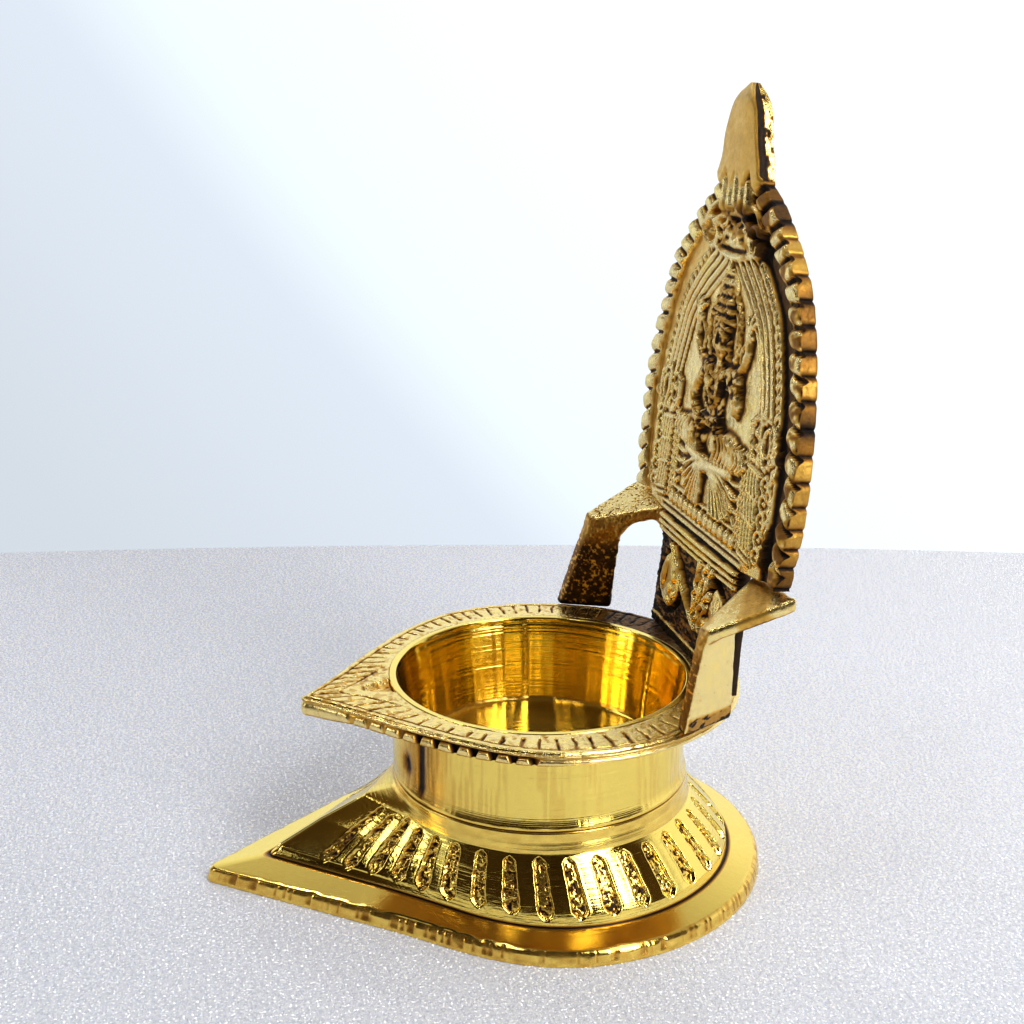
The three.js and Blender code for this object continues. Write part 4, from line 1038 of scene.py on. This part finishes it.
def carve_crest(relief):
    """A lion mask with curled ends under the finial's petals."""
    stroke, mound = relief.stroke, relief.mound
    mound(0, 51.2, 7.5, 3.9, 1.0)
    stroke([(-9.0, 49.6), (-4, 48.4), (0, 48.1), (4, 48.4), (9.0, 49.6)], 0.75, 1.25)
    stroke([(-8.0, 53.2), (-4, 54.6), (0, 55.1), (4, 54.6), (8.0, 53.2)], 0.7, 1.5)
    mound(0, 50.6, 1.6, 1.5, 1.9)
    for side in (-1, 1):
        mound(side * 2.6, 52.1, 1.3, 1.1, 1.9)
        mound(side * 3.4, 50.2, 1.5, 1.0, 1.7)
        stroke(sided(side, (1.2, 53.6), (3.2, 53.9), (5.0, 52.6)), 0.45, 2.0)
        start = 90 - side * 60
        stroke(arc(side * 9.4, 51.4, 2.3, 2.4, start, start + side * 330, 30), 0.75, 1.5, end_width=0.45)
        mound(side * 9.4, 51.4, 0.8, 0.8, 1.3)
        stroke(sided(side, (11.8, 53.4), (9.6, 55.6), (7.0, 56.8)), 0.6, 1.3)
        for k in range(3):
            mound(side * (6.3 + 0.1 * k), 48.9 + 2.0 * k, 0.8, 0.8, 1.5)
    relief.groove([(-5.5, 53.3), (0, 54.0), (5.5, 53.3)], 0.6, 0.9)
    relief.groove([(-4.0, 49.4), (0, 49.2), (4.0, 49.4)], 0.5, 1.0)
    for k in range(-2, 3):
        stroke([(k * 2.55, 55.9), (k * 2.35, 61.4 - 0.55 * abs(k))], 1.15, 1.75, end_width=0.75, ground=-0.2)


def rib_phase(along, x):
    """Number of the rib at a place along the border, and the place within it from -0.5 to 0.5."""
    cell = (along + 1.3 * (noise(along, np.sign(x) * 5, 7.0) - 0.5)) / RIB_PITCH
    number = np.floor(cell)
    return number, cell - number - 0.5


def plaque_relief(x, v):
    """Height of the plaque's front over its plane, with each place's soiling and painted shade."""
    turn = np.linspace(0, 1, 240)
    flank = np.stack([half_width(60.0 * turn), 60.0 * turn], axis=-1)
    crown = np.array([(8.0, 61.4), (6.0, 62.6), (3.0, 63.6), (0.0, 64.0)])
    shoulder = np.concatenate([flank, crown])
    inset, along, _ = nearest(shoulder[::2], np.abs(x), v)
    inside = np.abs(x) < half_width(v) + 1e-6
    inset = np.where(inside | (v > 58), inset, 0)

    height = np.full(x.shape, -0.45)
    zone = smooth((16.0 - inset) / 0.7)
    height += 0.35 * zone
    channel = smooth((inset - 3.4) / 0.5) * smooth((8.1 - inset) / 0.6)
    height = between(height, -1.0, channel)
    relief = Relief(x, v, height)
    carve_pillars(relief)
    arch_here = smooth((v - 24.5) / 1.2)
    for middle, half, top in ((10.6, 0.62, 0.75), (12.3, 0.62, 0.75), (14.0, 0.62, 0.7), (15.5, 0.42, 0.35)):
        away = np.abs(inset - middle)
        shape = -0.35 + (top + 0.35) * np.sqrt(np.clip(1 - (away / half) ** 2, 0, 1)) * arch_here
        shape = np.where((away < half) & (arch_here > 0.1), shape, BELOW_ALL)
        relief.height = np.maximum(relief.height, shape)
    from_rope = inset - 8.8
    rope = np.clip(1 - (from_rope / 0.85) ** 2, 0, 1) ** 0.5
    coil = 0.62 + 0.38 * np.cos(2 * math.pi * (along + from_rope * 0.9) / 1.9)
    shape = np.where((np.abs(from_rope) < 0.85) & (v > 18), -0.8 + 1.6 * rope * coil, BELOW_ALL)
    relief.height = np.maximum(relief.height, shape)

    number, offset = rib_phase(along - 0.45 * (inset - 1.2), x)
    side = np.sign(x)
    uneven = noise(number * 1.7, side * 3, 1.0)
    slant = offset + 0.10 * (uneven - 0.5) * (inset - 2) + 0.1 * (layered_noise(x + 20, v, 1.5, 2) - 0.5)
    tight = 1.96 + 0.3 * noise(number * 3, side * 7, 1.0)
    block = np.sqrt(np.clip(1 - np.abs(slant * tight) ** 2.6, 0, 1))
    ridge = (0.55 + 0.8 * uneven) * np.where(x < 0, 0.6, 1.0) + 0.5 * (layered_noise(x + 3, v, 1.3, 3) - 0.5)
    crown_of_rib = np.sqrt(np.clip(1 - ((inset - 1.6) / 2.3) ** 4, 0, 1))
    border = -0.7 + (ridge + 0.7) * block * crown_of_rib
    in_border = (inset < 3.9) & (v < 61)
    border = between(-1.0, border, smooth((3.9 - inset) / 0.5))
    under = np.where(inset > 3.4, relief.height, -1.0)
    relief.height = np.where(in_border, np.maximum(under, border), relief.height)
    carve_figure(relief)
    carve_crest(relief)
    inner = smooth((inset - 7.4) / 0.7)
    flatter = -0.45 + RELIEF_SHARE * (relief.height + 0.45)
    relief.height = between(relief.height, flatter, inner)

    tongue = smooth((v - 59.6 - 1.2 * np.cos(x * 1.3)) / 1.6)
    swell = FINIAL_PROUD - 0.25 * np.clip(np.abs(x) / np.maximum(half_width(v), 0.5), 0, 1) ** 2.5
    swell = swell - 1.2 * np.clip((v - 72.4) / 3.3, 0, 1) ** 2
    height = between(relief.height, swell, tongue)
    height += (1 - 0.85 * tongue) * 0.16 * (layered_noise(x + 40, v, 0.9, 3) - 0.5)
    height += 0.12 * (noise(x, v + 70, 3.5) - 0.5)
    speck = layered_noise(x * 0.9 + 5, v, 0.7, 2)
    patch = layered_noise(x + 12, v, 3.0, 3)
    figure = np.exp(-((x - 1) / 10.5) ** 4) * smooth((v - 14) / 5) * smooth((50 - v) / 3)
    figure = figure * smooth((inset - 17) / 1.5) * smooth((height + 0.3) / 0.15)
    height -= 0.35 * figure * (speck - 0.45)
    tarnish_and_shade = figure * (0.08 + (0.2 + 0.5 * smooth((patch - 0.42) * 5)) * smooth((speck - 0.42) * 6))
    # Painted shade: the near (right) channel is painted dark, the far one hardly darkened.
    tarnish_and_shade += channel * np.where(x > 0, 0.66, 0.1) * smooth((58 - v) / 6)
    # Painted shade on the near (right) border's ribs, in uneven patches.
    worn = smooth((layered_noise(x + 70, v, 2.0, 3) - 0.42) * 4)
    tarnish_and_shade += 0.5 * (x > 0) * (inset < 3.6) * worn
    near_crest = smooth((v - 46) / 3) * smooth((59 - v) / 3) * (np.abs(x) < 11)
    tarnish_and_shade += 0.35 * smooth((patch - 0.5) * 5) * near_crest
    return height, tongue, tarnish_and_shade * (1 - tongue), channel * (x < 0)


def plaque():
    """The upright plate: carved front, lumpy walls and a plain back."""
    front, wall, back = 372, 12, 76
    level = np.concatenate([np.linspace(0, 72, 342), np.linspace(72, 75.7, 31)[1:]])[:, None]
    share = np.linspace(-1, 1, front)[None, :]
    wide = half_width(level)

    def raised(x):
        """The level at x: higher in the lower corners, which stand on the straps."""
        reach = np.clip((np.abs(x) - STRAP_INNER_X) / (PLAQUE_CORNER[0] - STRAP_INNER_X), 0, 1)
        return level + PLAQUE_CORNER[1] * reach * np.clip(1 - level / 12, 0, 1)

    x = share * wide
    v = raised(x)
    height, tongue, tarnish_and_shade, painted_lit_far_channel = plaque_relief(x, v)
    height = blurred(height, 1, 0)

    step = np.hypot(np.diff(wide[:, 0]), np.diff(level[:, 0]))
    along = np.concatenate([[0], np.cumsum(step)])[:, None]
    gaps = {side: np.abs(rib_phase(along, side)[1] * 2) ** 5 * (level < 60.5) for side in (-1, 1)}
    near_edge = smooth((np.abs(x) - wide + 1.2) / 1.2)
    x = x - np.sign(x) * 0.62 * np.where(x > 0, gaps[1], gaps[-1]) * near_edge
    edge = smooth((wide - np.abs(share) * wide) / 0.5)
    height = height - 0.25 * (1 - edge)

    rear = between(-PLAQUE_THICKNESS, FINIAL_PROUD - FINIAL_THICKNESS, smooth((level - 57) / 4))
    rear = rear - 0.35 * smooth((level - 59) / 4) + 1.1 * np.clip((level - 71.5) / 4.2, 0, 1) ** 2

    def side_wall(side):
        """Columns from the front to the back on the right, or from the back to the front on the left."""
        outer = slice(-1, None) if side > 0 else slice(None, 1)
        t = np.linspace(0, 1, wall + 2)[None, 1:-1][:, ::side]
        bow = np.sin(math.pi * t)
        lump = 0.55 * (layered_noise(along + 60 + 20 * side, 4 * t, 1.6, 3) - 0.5)
        swell = (0.16 - 0.5 * (level > 61) + lump) * smooth(wide / 3)
        wall_x = x[:, outer] + side * bow * (swell - 0.3 * gaps[side])
        limit = wide + 0.12
        wall_v = np.broadcast_to(v[:, outer], wall_x.shape)
        return np.clip(wall_x, -limit, limit), wall_v, between(height[:, outer], rear, t)

    back_x = np.linspace(1, -1, back)[None, :] * (x[:, -1:] - 0.1)
    back_v = raised(back_x)
    lumps = 0.3 * (layered_noise(back_x + 9, back_v + 5, 5, 3) - 0.5)
    behind = (back_x, back_v, rear + 0.12 + lumps)
    x, v, h = columns_round((x, v, height), side_wall(1), behind, side_wall(-1))
    x = x - FINIAL_LEAN * smooth((level - 63) / 5)

    hollow = np.zeros(x.shape)
    # Hollows darken with patina, far less in the far channel, which is painted lighter than the near one.
    dip = dips(height, (3, 0.02, 0.17), (8, 0.1, 0.3)) * (1 - 0.9 * tongue) * (1 - 0.75 * painted_lit_far_channel)
    hollow[:, :front] = 0.08 + 0.72 * dip + tarnish_and_shade + 0.17 * tongue
    worn = layered_noise(x[:, front:], v[:, front:], 6, 2) - 0.4
    hollow[:, front:] = 0.14 + 0.45 * worn
    right_wall = slice(front, front + wall)
    # Painted shade: the near (right) wall is darkened more than the far one, over the dark gaps between its
    # ribs.
    hollow[:, right_wall] += 0.24 + 0.55 * gaps[1] + 0.4 * worn[:, :wall]
    hollow[:, -wall:] += 0.55 * gaps[-1] + 0.3 * worn[:, -wall:]
    depth = (np.arange(wall) + 1) / (wall + 1)
    coarse = 0.5 + 0.5 * layered_noise(along, 5 * depth[None, :], 1.0, 3)
    finial_wall = np.where(depth < 0.5, 0.55 + 0.5 * coarse, 0.9 * smooth((coarse - 0.76) * 12))
    hollow[:, right_wall] = np.where(level > 61, finial_wall, hollow[:, right_wall])
    skin("plaque_relief", on_plaque(x, v, h), "aged_brass", "plaque", hollow)


# Centre panel

def centre_panel():
    """The panel under the plaque: leaves, a crossing stem and a tassel under three mouldings."""
    rows, front, wall, back = 150, 240, 6, 30
    foot_level = -(PLAQUE_FOOT[2] - MOUTH_HEIGHT) / math.cos(PLAQUE_LEAN) + 0.65
    level = np.linspace(foot_level, -0.3, rows)[:, None]
    part = (level - foot_level) / (-0.3 - foot_level)
    wide = 19.0 - 0.8 * part - 0.35 * np.sin(math.pi * part)
    x = np.linspace(-1, 1, front)[None, :] * wide
    v = np.broadcast_to(level, x.shape)
    ground = 0.5 * (layered_noise(x * 0.5, v, 0.5, 3) - 0.5)
    relief = Relief(x, v, ground - 0.45)
    stroke, mound = relief.stroke, relief.mound
    spots = np.array([
        (10.6, -4.6), (14.2, -8.2), (15.8, -12.6), (13.6, -16.4),
        (9.6, -17.0), (5.6, -13.2), (6.8, -8.4), (10.6, -4.6),
    ])
    for side in (-1, 1):
        shift = 0 if side < 0 else 3.2
        leaf = [(side * (a + shift * (b < -5) * 0.4), b) for a, b in spots]
        mound(side * 10.6, -11.4, 4.7, 5.6, 0.25, blunt=0.35)
        mound(side * 12.6, -10.8, 1.5, 4.4, 0.75, turn=side * 14)
        for a, b, broad, tall in (
            (8.2, -10.2, 1.3, 1.6), (9.4, -12.6, 1.2, 1.7), (7.6, -13.4, 1.0, 1.3), (10.2, -14.9, 1.4, 1.2),
        ):
            mound(side * a, b, broad, tall, 0.65)
        relief.groove(leaf, 0.95, 1.0)
    stem = [(-10.2, -4.6), (-7.0, -7.4), (-3.6, -10.2), (0.0, -12.8), (3.4, -14.9)]
    relief.groove(stem, 1.5, 0.6)
    stroke(stem, 0.5, 0.85)
    for k in range(5):
        for a, b in ((4.6, -3.6), (6.9, -3.3), (9.2, -3.4)):
            low = b - 2.3 * k
            bend = 0.9 * math.sin(2.1 * k + a)
            broad = 0.95 + 0.25 * math.sin(3.7 * k + 2 * a)
            middle = a - 1.1 * k + 0.28 * k * k
            strand = [(middle + bend, low), (middle - 0.9, low - 1.3), (middle - 0.4 + bend, low - 2.5)]
            stroke(strand, broad, 0.95, end_width=0.45)
    stroke([(-17, -19.6), (17, -19.6)], 0.4, 0.0)
    for drop, top in ((0.95, 0.75), (2.15, 0.7), (3.4, 0.45)):
        stroke([(-18.2, -drop), (0, -drop - 0.25), (18.2, -drop)], 0.5, top)
    height = relief.height + 0.22 * (layered_noise(x + 8, v, 1.0, 3) - 0.5)
    height -= 0.45 * (1 - smooth((wide - np.abs(x)) / 0.7))

    rear = -PANEL_THICKNESS
    t = np.linspace(0, 1, wall + 2)[None, 1:-1]
    bow = 0.2 * np.sin(math.pi * t)
    wall_v = np.broadcast_to(level, (rows, wall))
    right = (x[:, -1:] + bow, wall_v, between(height[:, -1:], rear, t))
    left = ((x[:, :1] - bow)[:, ::-1], wall_v, between(height[:, :1], rear, t)[:, ::-1])
    back_x = np.linspace(1, -1, back)[None, :] * (wide - 0.15)
    back_h = rear + 0.08 + 0.2 * (layered_noise(back_x, level, 3, 3) - 0.5)
    behind = (back_x, np.broadcast_to(level, back_x.shape), back_h)
    front_x, front_v = x, v
    x, v, h = columns_round((x, v, height), right, behind, left)

    hollow = 0.3 + 0.6 * (layered_noise(x + 4, v, 3.0, 3) - 0.4)
    hollow[:, front:front + wall] = 0.9
    hollow[:, -wall:] = 0.9
    dip = dips(height, (3, 0.02, 0.18), (9, 0.08, 0.32))
    speck = layered_noise(front_x * 0.3 + 40, front_v, 0.4, 3)
    low_ground = smooth((-0.12 - height) / 0.2)
    shade = 0.75 * smooth((foot_level + 1.6 - front_v) / 1.2)
    shade = shade + low_ground * (0.5 + 0.5 * smooth((speck - 0.42) * 6))
    orange = 0.25 * smooth((layered_noise(front_x + 7, front_v, 2.5, 2) - 0.5) * 6)
    hollow[:, :front] = np.maximum(dip, shade) + orange * (front_v < -4) + 0.04
    skin("centre_panel_relief", on_plaque(x, v, h), "aged_brass", "centre_panel", hollow)


# Arms

CAST_GRID = 0.36
CAST_EASING = 34
# Fillets in the upper corners of each arm's opening: the corners of two small wedges
FILLETS = (
    ((24.6, 21.4, 48.6), (29.2, 21.4, 48.6), (24.6, 21.4, 52.2),
     (29.2, 21.4, 52.2), (24.6, 25.8, 53.0), (29.2, 25.8, 53.0)),
    ((19.4, 28.0, 50.8), (19.4, 30.0, 50.8), (19.4, 28.0, 53.8),
     (19.4, 30.0, 54.4), (22.4, 28.0, 53.8), (22.4, 30.0, 54.4)),
)


def vectors(mesh, name):
    """One vector for each vertex."""
    values = np.zeros(len(mesh.vertices) * 3, dtype=np.float32)
    mesh.vertices.foreach_get(name, values)
    return values.reshape(-1, 3)


def arm(side):
    """A cast arm: the plain form with its corners worn round and a pitted skin."""
    node = "right_arm" if side > 0 else "left_arm"
    plain = frame["nodes"][node]
    mesh = plain.data.copy()
    mesh.transform(plain.matrix_world)
    form = bmesh.new()
    form.from_mesh(mesh)
    for wedge in FILLETS:
        corners = [form.verts.new(Vector((side * x, y + LAMP_SHIFT, z)) * MM) for x, y, z in wedge]
        bmesh.ops.convex_hull(form, input=corners)
    form.to_mesh(mesh)
    form.free()
    piece = bpy.data.objects.new(node + "_cast", mesh)
    bpy.context.scene.collection.objects.link(piece)
    shrink = piece.modifiers.new("grid", "REMESH")
    shrink.mode = "VOXEL"
    shrink.voxel_size = CAST_GRID * MM
    shrink.use_smooth_shade = True
    ease = piece.modifiers.new("ease", "SMOOTH")
    ease.factor = 0.5
    ease.iterations = CAST_EASING
    fine = piece.modifiers.new("fine", "SUBSURF")
    fine.levels = 1
    fine.render_levels = 1
    fine.subdivision_type = "SIMPLE"
    graph = bpy.context.evaluated_depsgraph_get()
    cast = bpy.data.meshes.new_from_object(piece.evaluated_get(graph))
    piece.modifiers.clear()
    piece.data = cast
    places = vectors(cast, "co") / MM
    normals = vectors(cast, "normal")
    x, y, z = places.T
    outward = normals[:, 0] * side
    inner = smooth((-outward - 0.35) / 0.3)
    front = smooth((-normals[:, 1] - 0.45) / 0.3) * (1 - inner)
    below = smooth((-normals[:, 2] - 0.35) / 0.3) * (1 - inner)
    above = smooth((normals[:, 2] - 0.5) / 0.3)
    lumps = layered_noise(x * 0.8 + y, z + y * 0.4, 2.6, 3) - 0.5
    grain = layered_noise(x + y * 0.9, z - y * 0.3 + 30, 0.55, 3) - 0.5
    fine_pits = np.clip(layered_noise(x * 1.1, y + z * 0.3, 0.4, 2) - 0.62, 0, 1)
    fine_pits = fine_pits * above * (1 if side < 0 else 0.15)
    granular = np.clip(inner + 0.75 * front, 0, 1)
    amount = 0.12 * lumps + (0.04 + 0.2 * granular) * grain - 0.9 * fine_pits
    places += normals * amount[:, None]
    cast.vertices.foreach_set("co", (places * MM).reshape(-1))
    cast.update()
    glitter = smooth((-grain - 0.02) * 9)
    warm = smooth((z - 46) / 3)
    bright = smooth((layered_noise(x * 0.4 + y * 0.9, z + 12, 0.42, 2) - 0.6) * 9)
    dirt_and_shade = 0.09 + granular * (0.7 - 0.28 * warm - 0.5 * bright * (1 - 0.7 * warm))
    # Downward faces take painted shade, and the pits are filled dark.
    dirt_and_shade = dirt_and_shade + 0.42 * below + 3.5 * fine_pits
    dirt_and_shade = dirt_and_shade + 0.8 * smooth((MOUTH_HEIGHT + 1.2 - z) / 0.8) * np.clip(inner + front, 0, 1)
    dirt_and_shade = np.clip(dirt_and_shade, 0, 1)
    if side > 0:
        patches = smooth((layered_noise(x * 0.5 + y * 0.6 + 9, z * 0.8, 4.0, 3) - 0.5) * 6)
        dirt_and_shade = dirt_and_shade + 0.26 * patches * smooth((z - 50.5) / 1.5)
    # Painted shade low on the faces turned to the back, deeper at the grains.
    behind = smooth((MOUTH_HEIGHT + 3.2 - z) / 1.0) * smooth((normals[:, 1] + 0.1) / 0.4)
    add_grime_and_shade(cast, dirt_and_shade + behind * (0.35 + 0.6 * glitter))
    cast.materials.clear()
    cast.materials.append(MATERIALS["satin_brass"])
    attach(piece, "root")
    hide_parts(node)


# Stage, camera and light

def add_stage():
    """A pale cloth with painted glints and a painted pool of light. Its far edge lies where the floor meets
    the wall in the picture.
    """
    ahead = Vector((-math.sin(CAMERA_AZIMUTH), math.cos(CAMERA_AZIMUTH), 0))
    right = Vector((ahead.y, -ahead.x, 0))
    below_camera = Vector((CAMERA_PLACE.x, CAMERA_PLACE.y, 0))
    centre = below_camera - ahead * (FLOOR_RADIUS_FAR - FLOOR_REACH) + right * FLOOR_SIDESTEP
    round_floor = {"vertices": 360, "radius": FLOOR_RADIUS_FAR, "fill_type": "NGON"}
    bpy.ops.mesh.primitive_circle_add(location=centre, **round_floor)
    floor = bpy.context.object
    floor.name = "floor"
    mat = bpy.data.materials.new("floor_cloth_painted_light")
    mat.use_nodes = True
    tree = mat.node_tree
    place = add_node(tree, "TexCoord").outputs["Object"]
    grain = add_texture(tree, place, 1300, 4, 0.75)
    # The cloth glows faintly and evenly, with painted glints where this noise peaks.
    painted_glint_noise = add_texture(tree, place, 2300, 2, 0.5)
    glow = add_ramp(tree, painted_glint_noise, ((0.62, (0.085, 0.088, 0.10)), (0.67, (1.0, 1.0, 1.0))))
    where = add_node(tree, "NewGeometry").outputs["Position"]
    # A painted pool of light, growing towards the back and the camera's right.
    painted_pool_heading = ahead * 0.5 + right * 0.85
    toward = add_node(tree, "VectorMath", {0: where, 1: painted_pool_heading}, operation="DOT_PRODUCT")
    inputs = {"Value": toward.outputs["Value"], "From Min": 0.03, "From Max": 0.32, "To Max": 0.2}
    painted_light_pool = add_node(tree, "MapRange", inputs)
    painted_glints_and_light = add_node(tree, "VectorMath", {0: glow, 1: painted_light_pool.outputs["Result"]}, operation="ADD")
    bump = add_node(tree, "Bump", {"Distance": 0.0008, "Strength": 0.8, "Height": grain})
    feed_node(tree.nodes["Principled BSDF"], {
        "Base Color": add_ramp(tree, grain, ((0.34, (0.60, 0.63, 0.72)), (0.66, (0.94, 0.96, 1.0)))),
        "Roughness": 0.6,
        "Emission Color": painted_glints_and_light.outputs[0],
        "Emission Strength": 1.0,
        "Normal": bump.outputs["Normal"],
    })
    floor.data.materials.append(mat)


def add_camera():
    """The camera, where the picture was taken from."""
    data = bpy.data.cameras.new("camera")
    data.lens = CAMERA_LENS
    data.sensor_width = 36
    data.clip_start = 0.01
    camera = bpy.data.objects.new("camera", data)
    camera.location = CAMERA_PLACE
    view = Euler((math.pi / 2 + CAMERA_PITCH, 0, CAMERA_AZIMUTH), "XYZ")
    camera.rotation_euler = (view.to_matrix() @ Euler((0, 0, CAMERA_ROLL)).to_matrix()).to_euler()
    bpy.context.scene.collection.objects.link(camera)
    bpy.context.scene.camera = camera


def heading(azimuth, elevation):
    """The direction of an azimuth and an elevation in degrees."""
    azimuth, elevation = math.radians(azimuth), math.radians(elevation)
    level = math.cos(elevation)
    return Vector((level * math.cos(azimuth), level * math.sin(azimuth), math.sin(elevation)))


def add_window(name, azimuth, elevation, width, height, glow):
    """A glowing panel seen from the lamp at a heading, with its size in degrees."""
    data = bpy.data.lights.new(name, "AREA")
    data.shape = "RECTANGLE"
    data.size = 2 * WINDOW_DISTANCE * math.tan(math.radians(width / 2))
    data.size_y = 2 * WINDOW_DISTANCE * math.tan(math.radians(height / 2))
    data.energy = glow * math.pi * data.size * data.size_y
    light = bpy.data.objects.new(name, data)
    aim = Vector((0, LAMP_SHIFT * MM, 0.03))
    light.location = aim + heading(azimuth, elevation) * WINDOW_DISTANCE
    light.rotation_euler = (aim - light.location).to_track_quat("-Z", "Y").to_euler()
    bpy.context.scene.collection.objects.link(light)


def add_lights():
    """A pale room, darker around the camera, with windows on its right and lamps in the ceiling."""
    world = bpy.data.worlds.new("room")
    world.use_nodes = True
    tree = world.node_tree
    place = add_node(tree, "TexCoord").outputs["Generated"]

    def ramp(direction, stops):
        """Colours over the height of a place towards a direction, from -1 to 1."""
        facing = add_node(tree, "VectorMath", {0: place, 1: direction}, operation="DOT_PRODUCT")
        inputs = {0: facing.outputs["Value"], 1: 0.5, 2: 0.5}
        shift = add_node(tree, "Math", inputs, operation="MULTIPLY_ADD").outputs[0]
        return add_ramp(tree, shift, [(0.5 + 0.5 * height, colour) for height, colour in stops])

    colour = ramp(heading(110, 35), [
        (-0.2, (0.55, 0.60, 0.65)), (0.06, (0.58, 0.63, 0.68)), (0.26, (0.65, 0.71, 0.79)),
        (0.32, (0.78, 0.86, 0.92)), (0.46, (0.84, 0.90, 0.95)), (0.8, (0.92, 0.95, 0.98)),
    ])
    for direction, start, end, shade in (
        (heading(-7, 18), 0.2, 0.36, (0.075, 0.045, 0.022)),
        (heading(-118, 34), 0.76, 0.88, (0.2, 0.13, 0.07)),
        (Vector((0, 0, 1)), 0.45, 0.8, (0.42, 0.38, 0.34)),
    ):
        inputs = {"Factor": 1, 6: colour, 7: ramp(direction, [(start, (1, 1, 1)), (end, shade)])}
        colour = add_node(tree, "Mix", inputs, data_type="RGBA", blend_type="MULTIPLY").outputs[2]
    feed_node(tree.nodes["Background"], {"Color": colour, "Strength": 1.0})
    bpy.context.scene.world = world
    for window in WINDOWS:
        add_window(*window)
    bpy.context.scene.view_settings.view_transform = "Standard"
    bpy.context.scene.view_settings.look = "Medium High Contrast"


add_camera()
add_stage()
foot()
bowl()
rim_plate()
plaque()
centre_panel()
arm(1)
arm(-1)
for part in frame["record"]["subparts"]:
    node = frame["nodes"][part["node"]]
    node.data.materials.clear()
    node.data.materials.append(MATERIALS[part["material_slot"]])
add_lights()
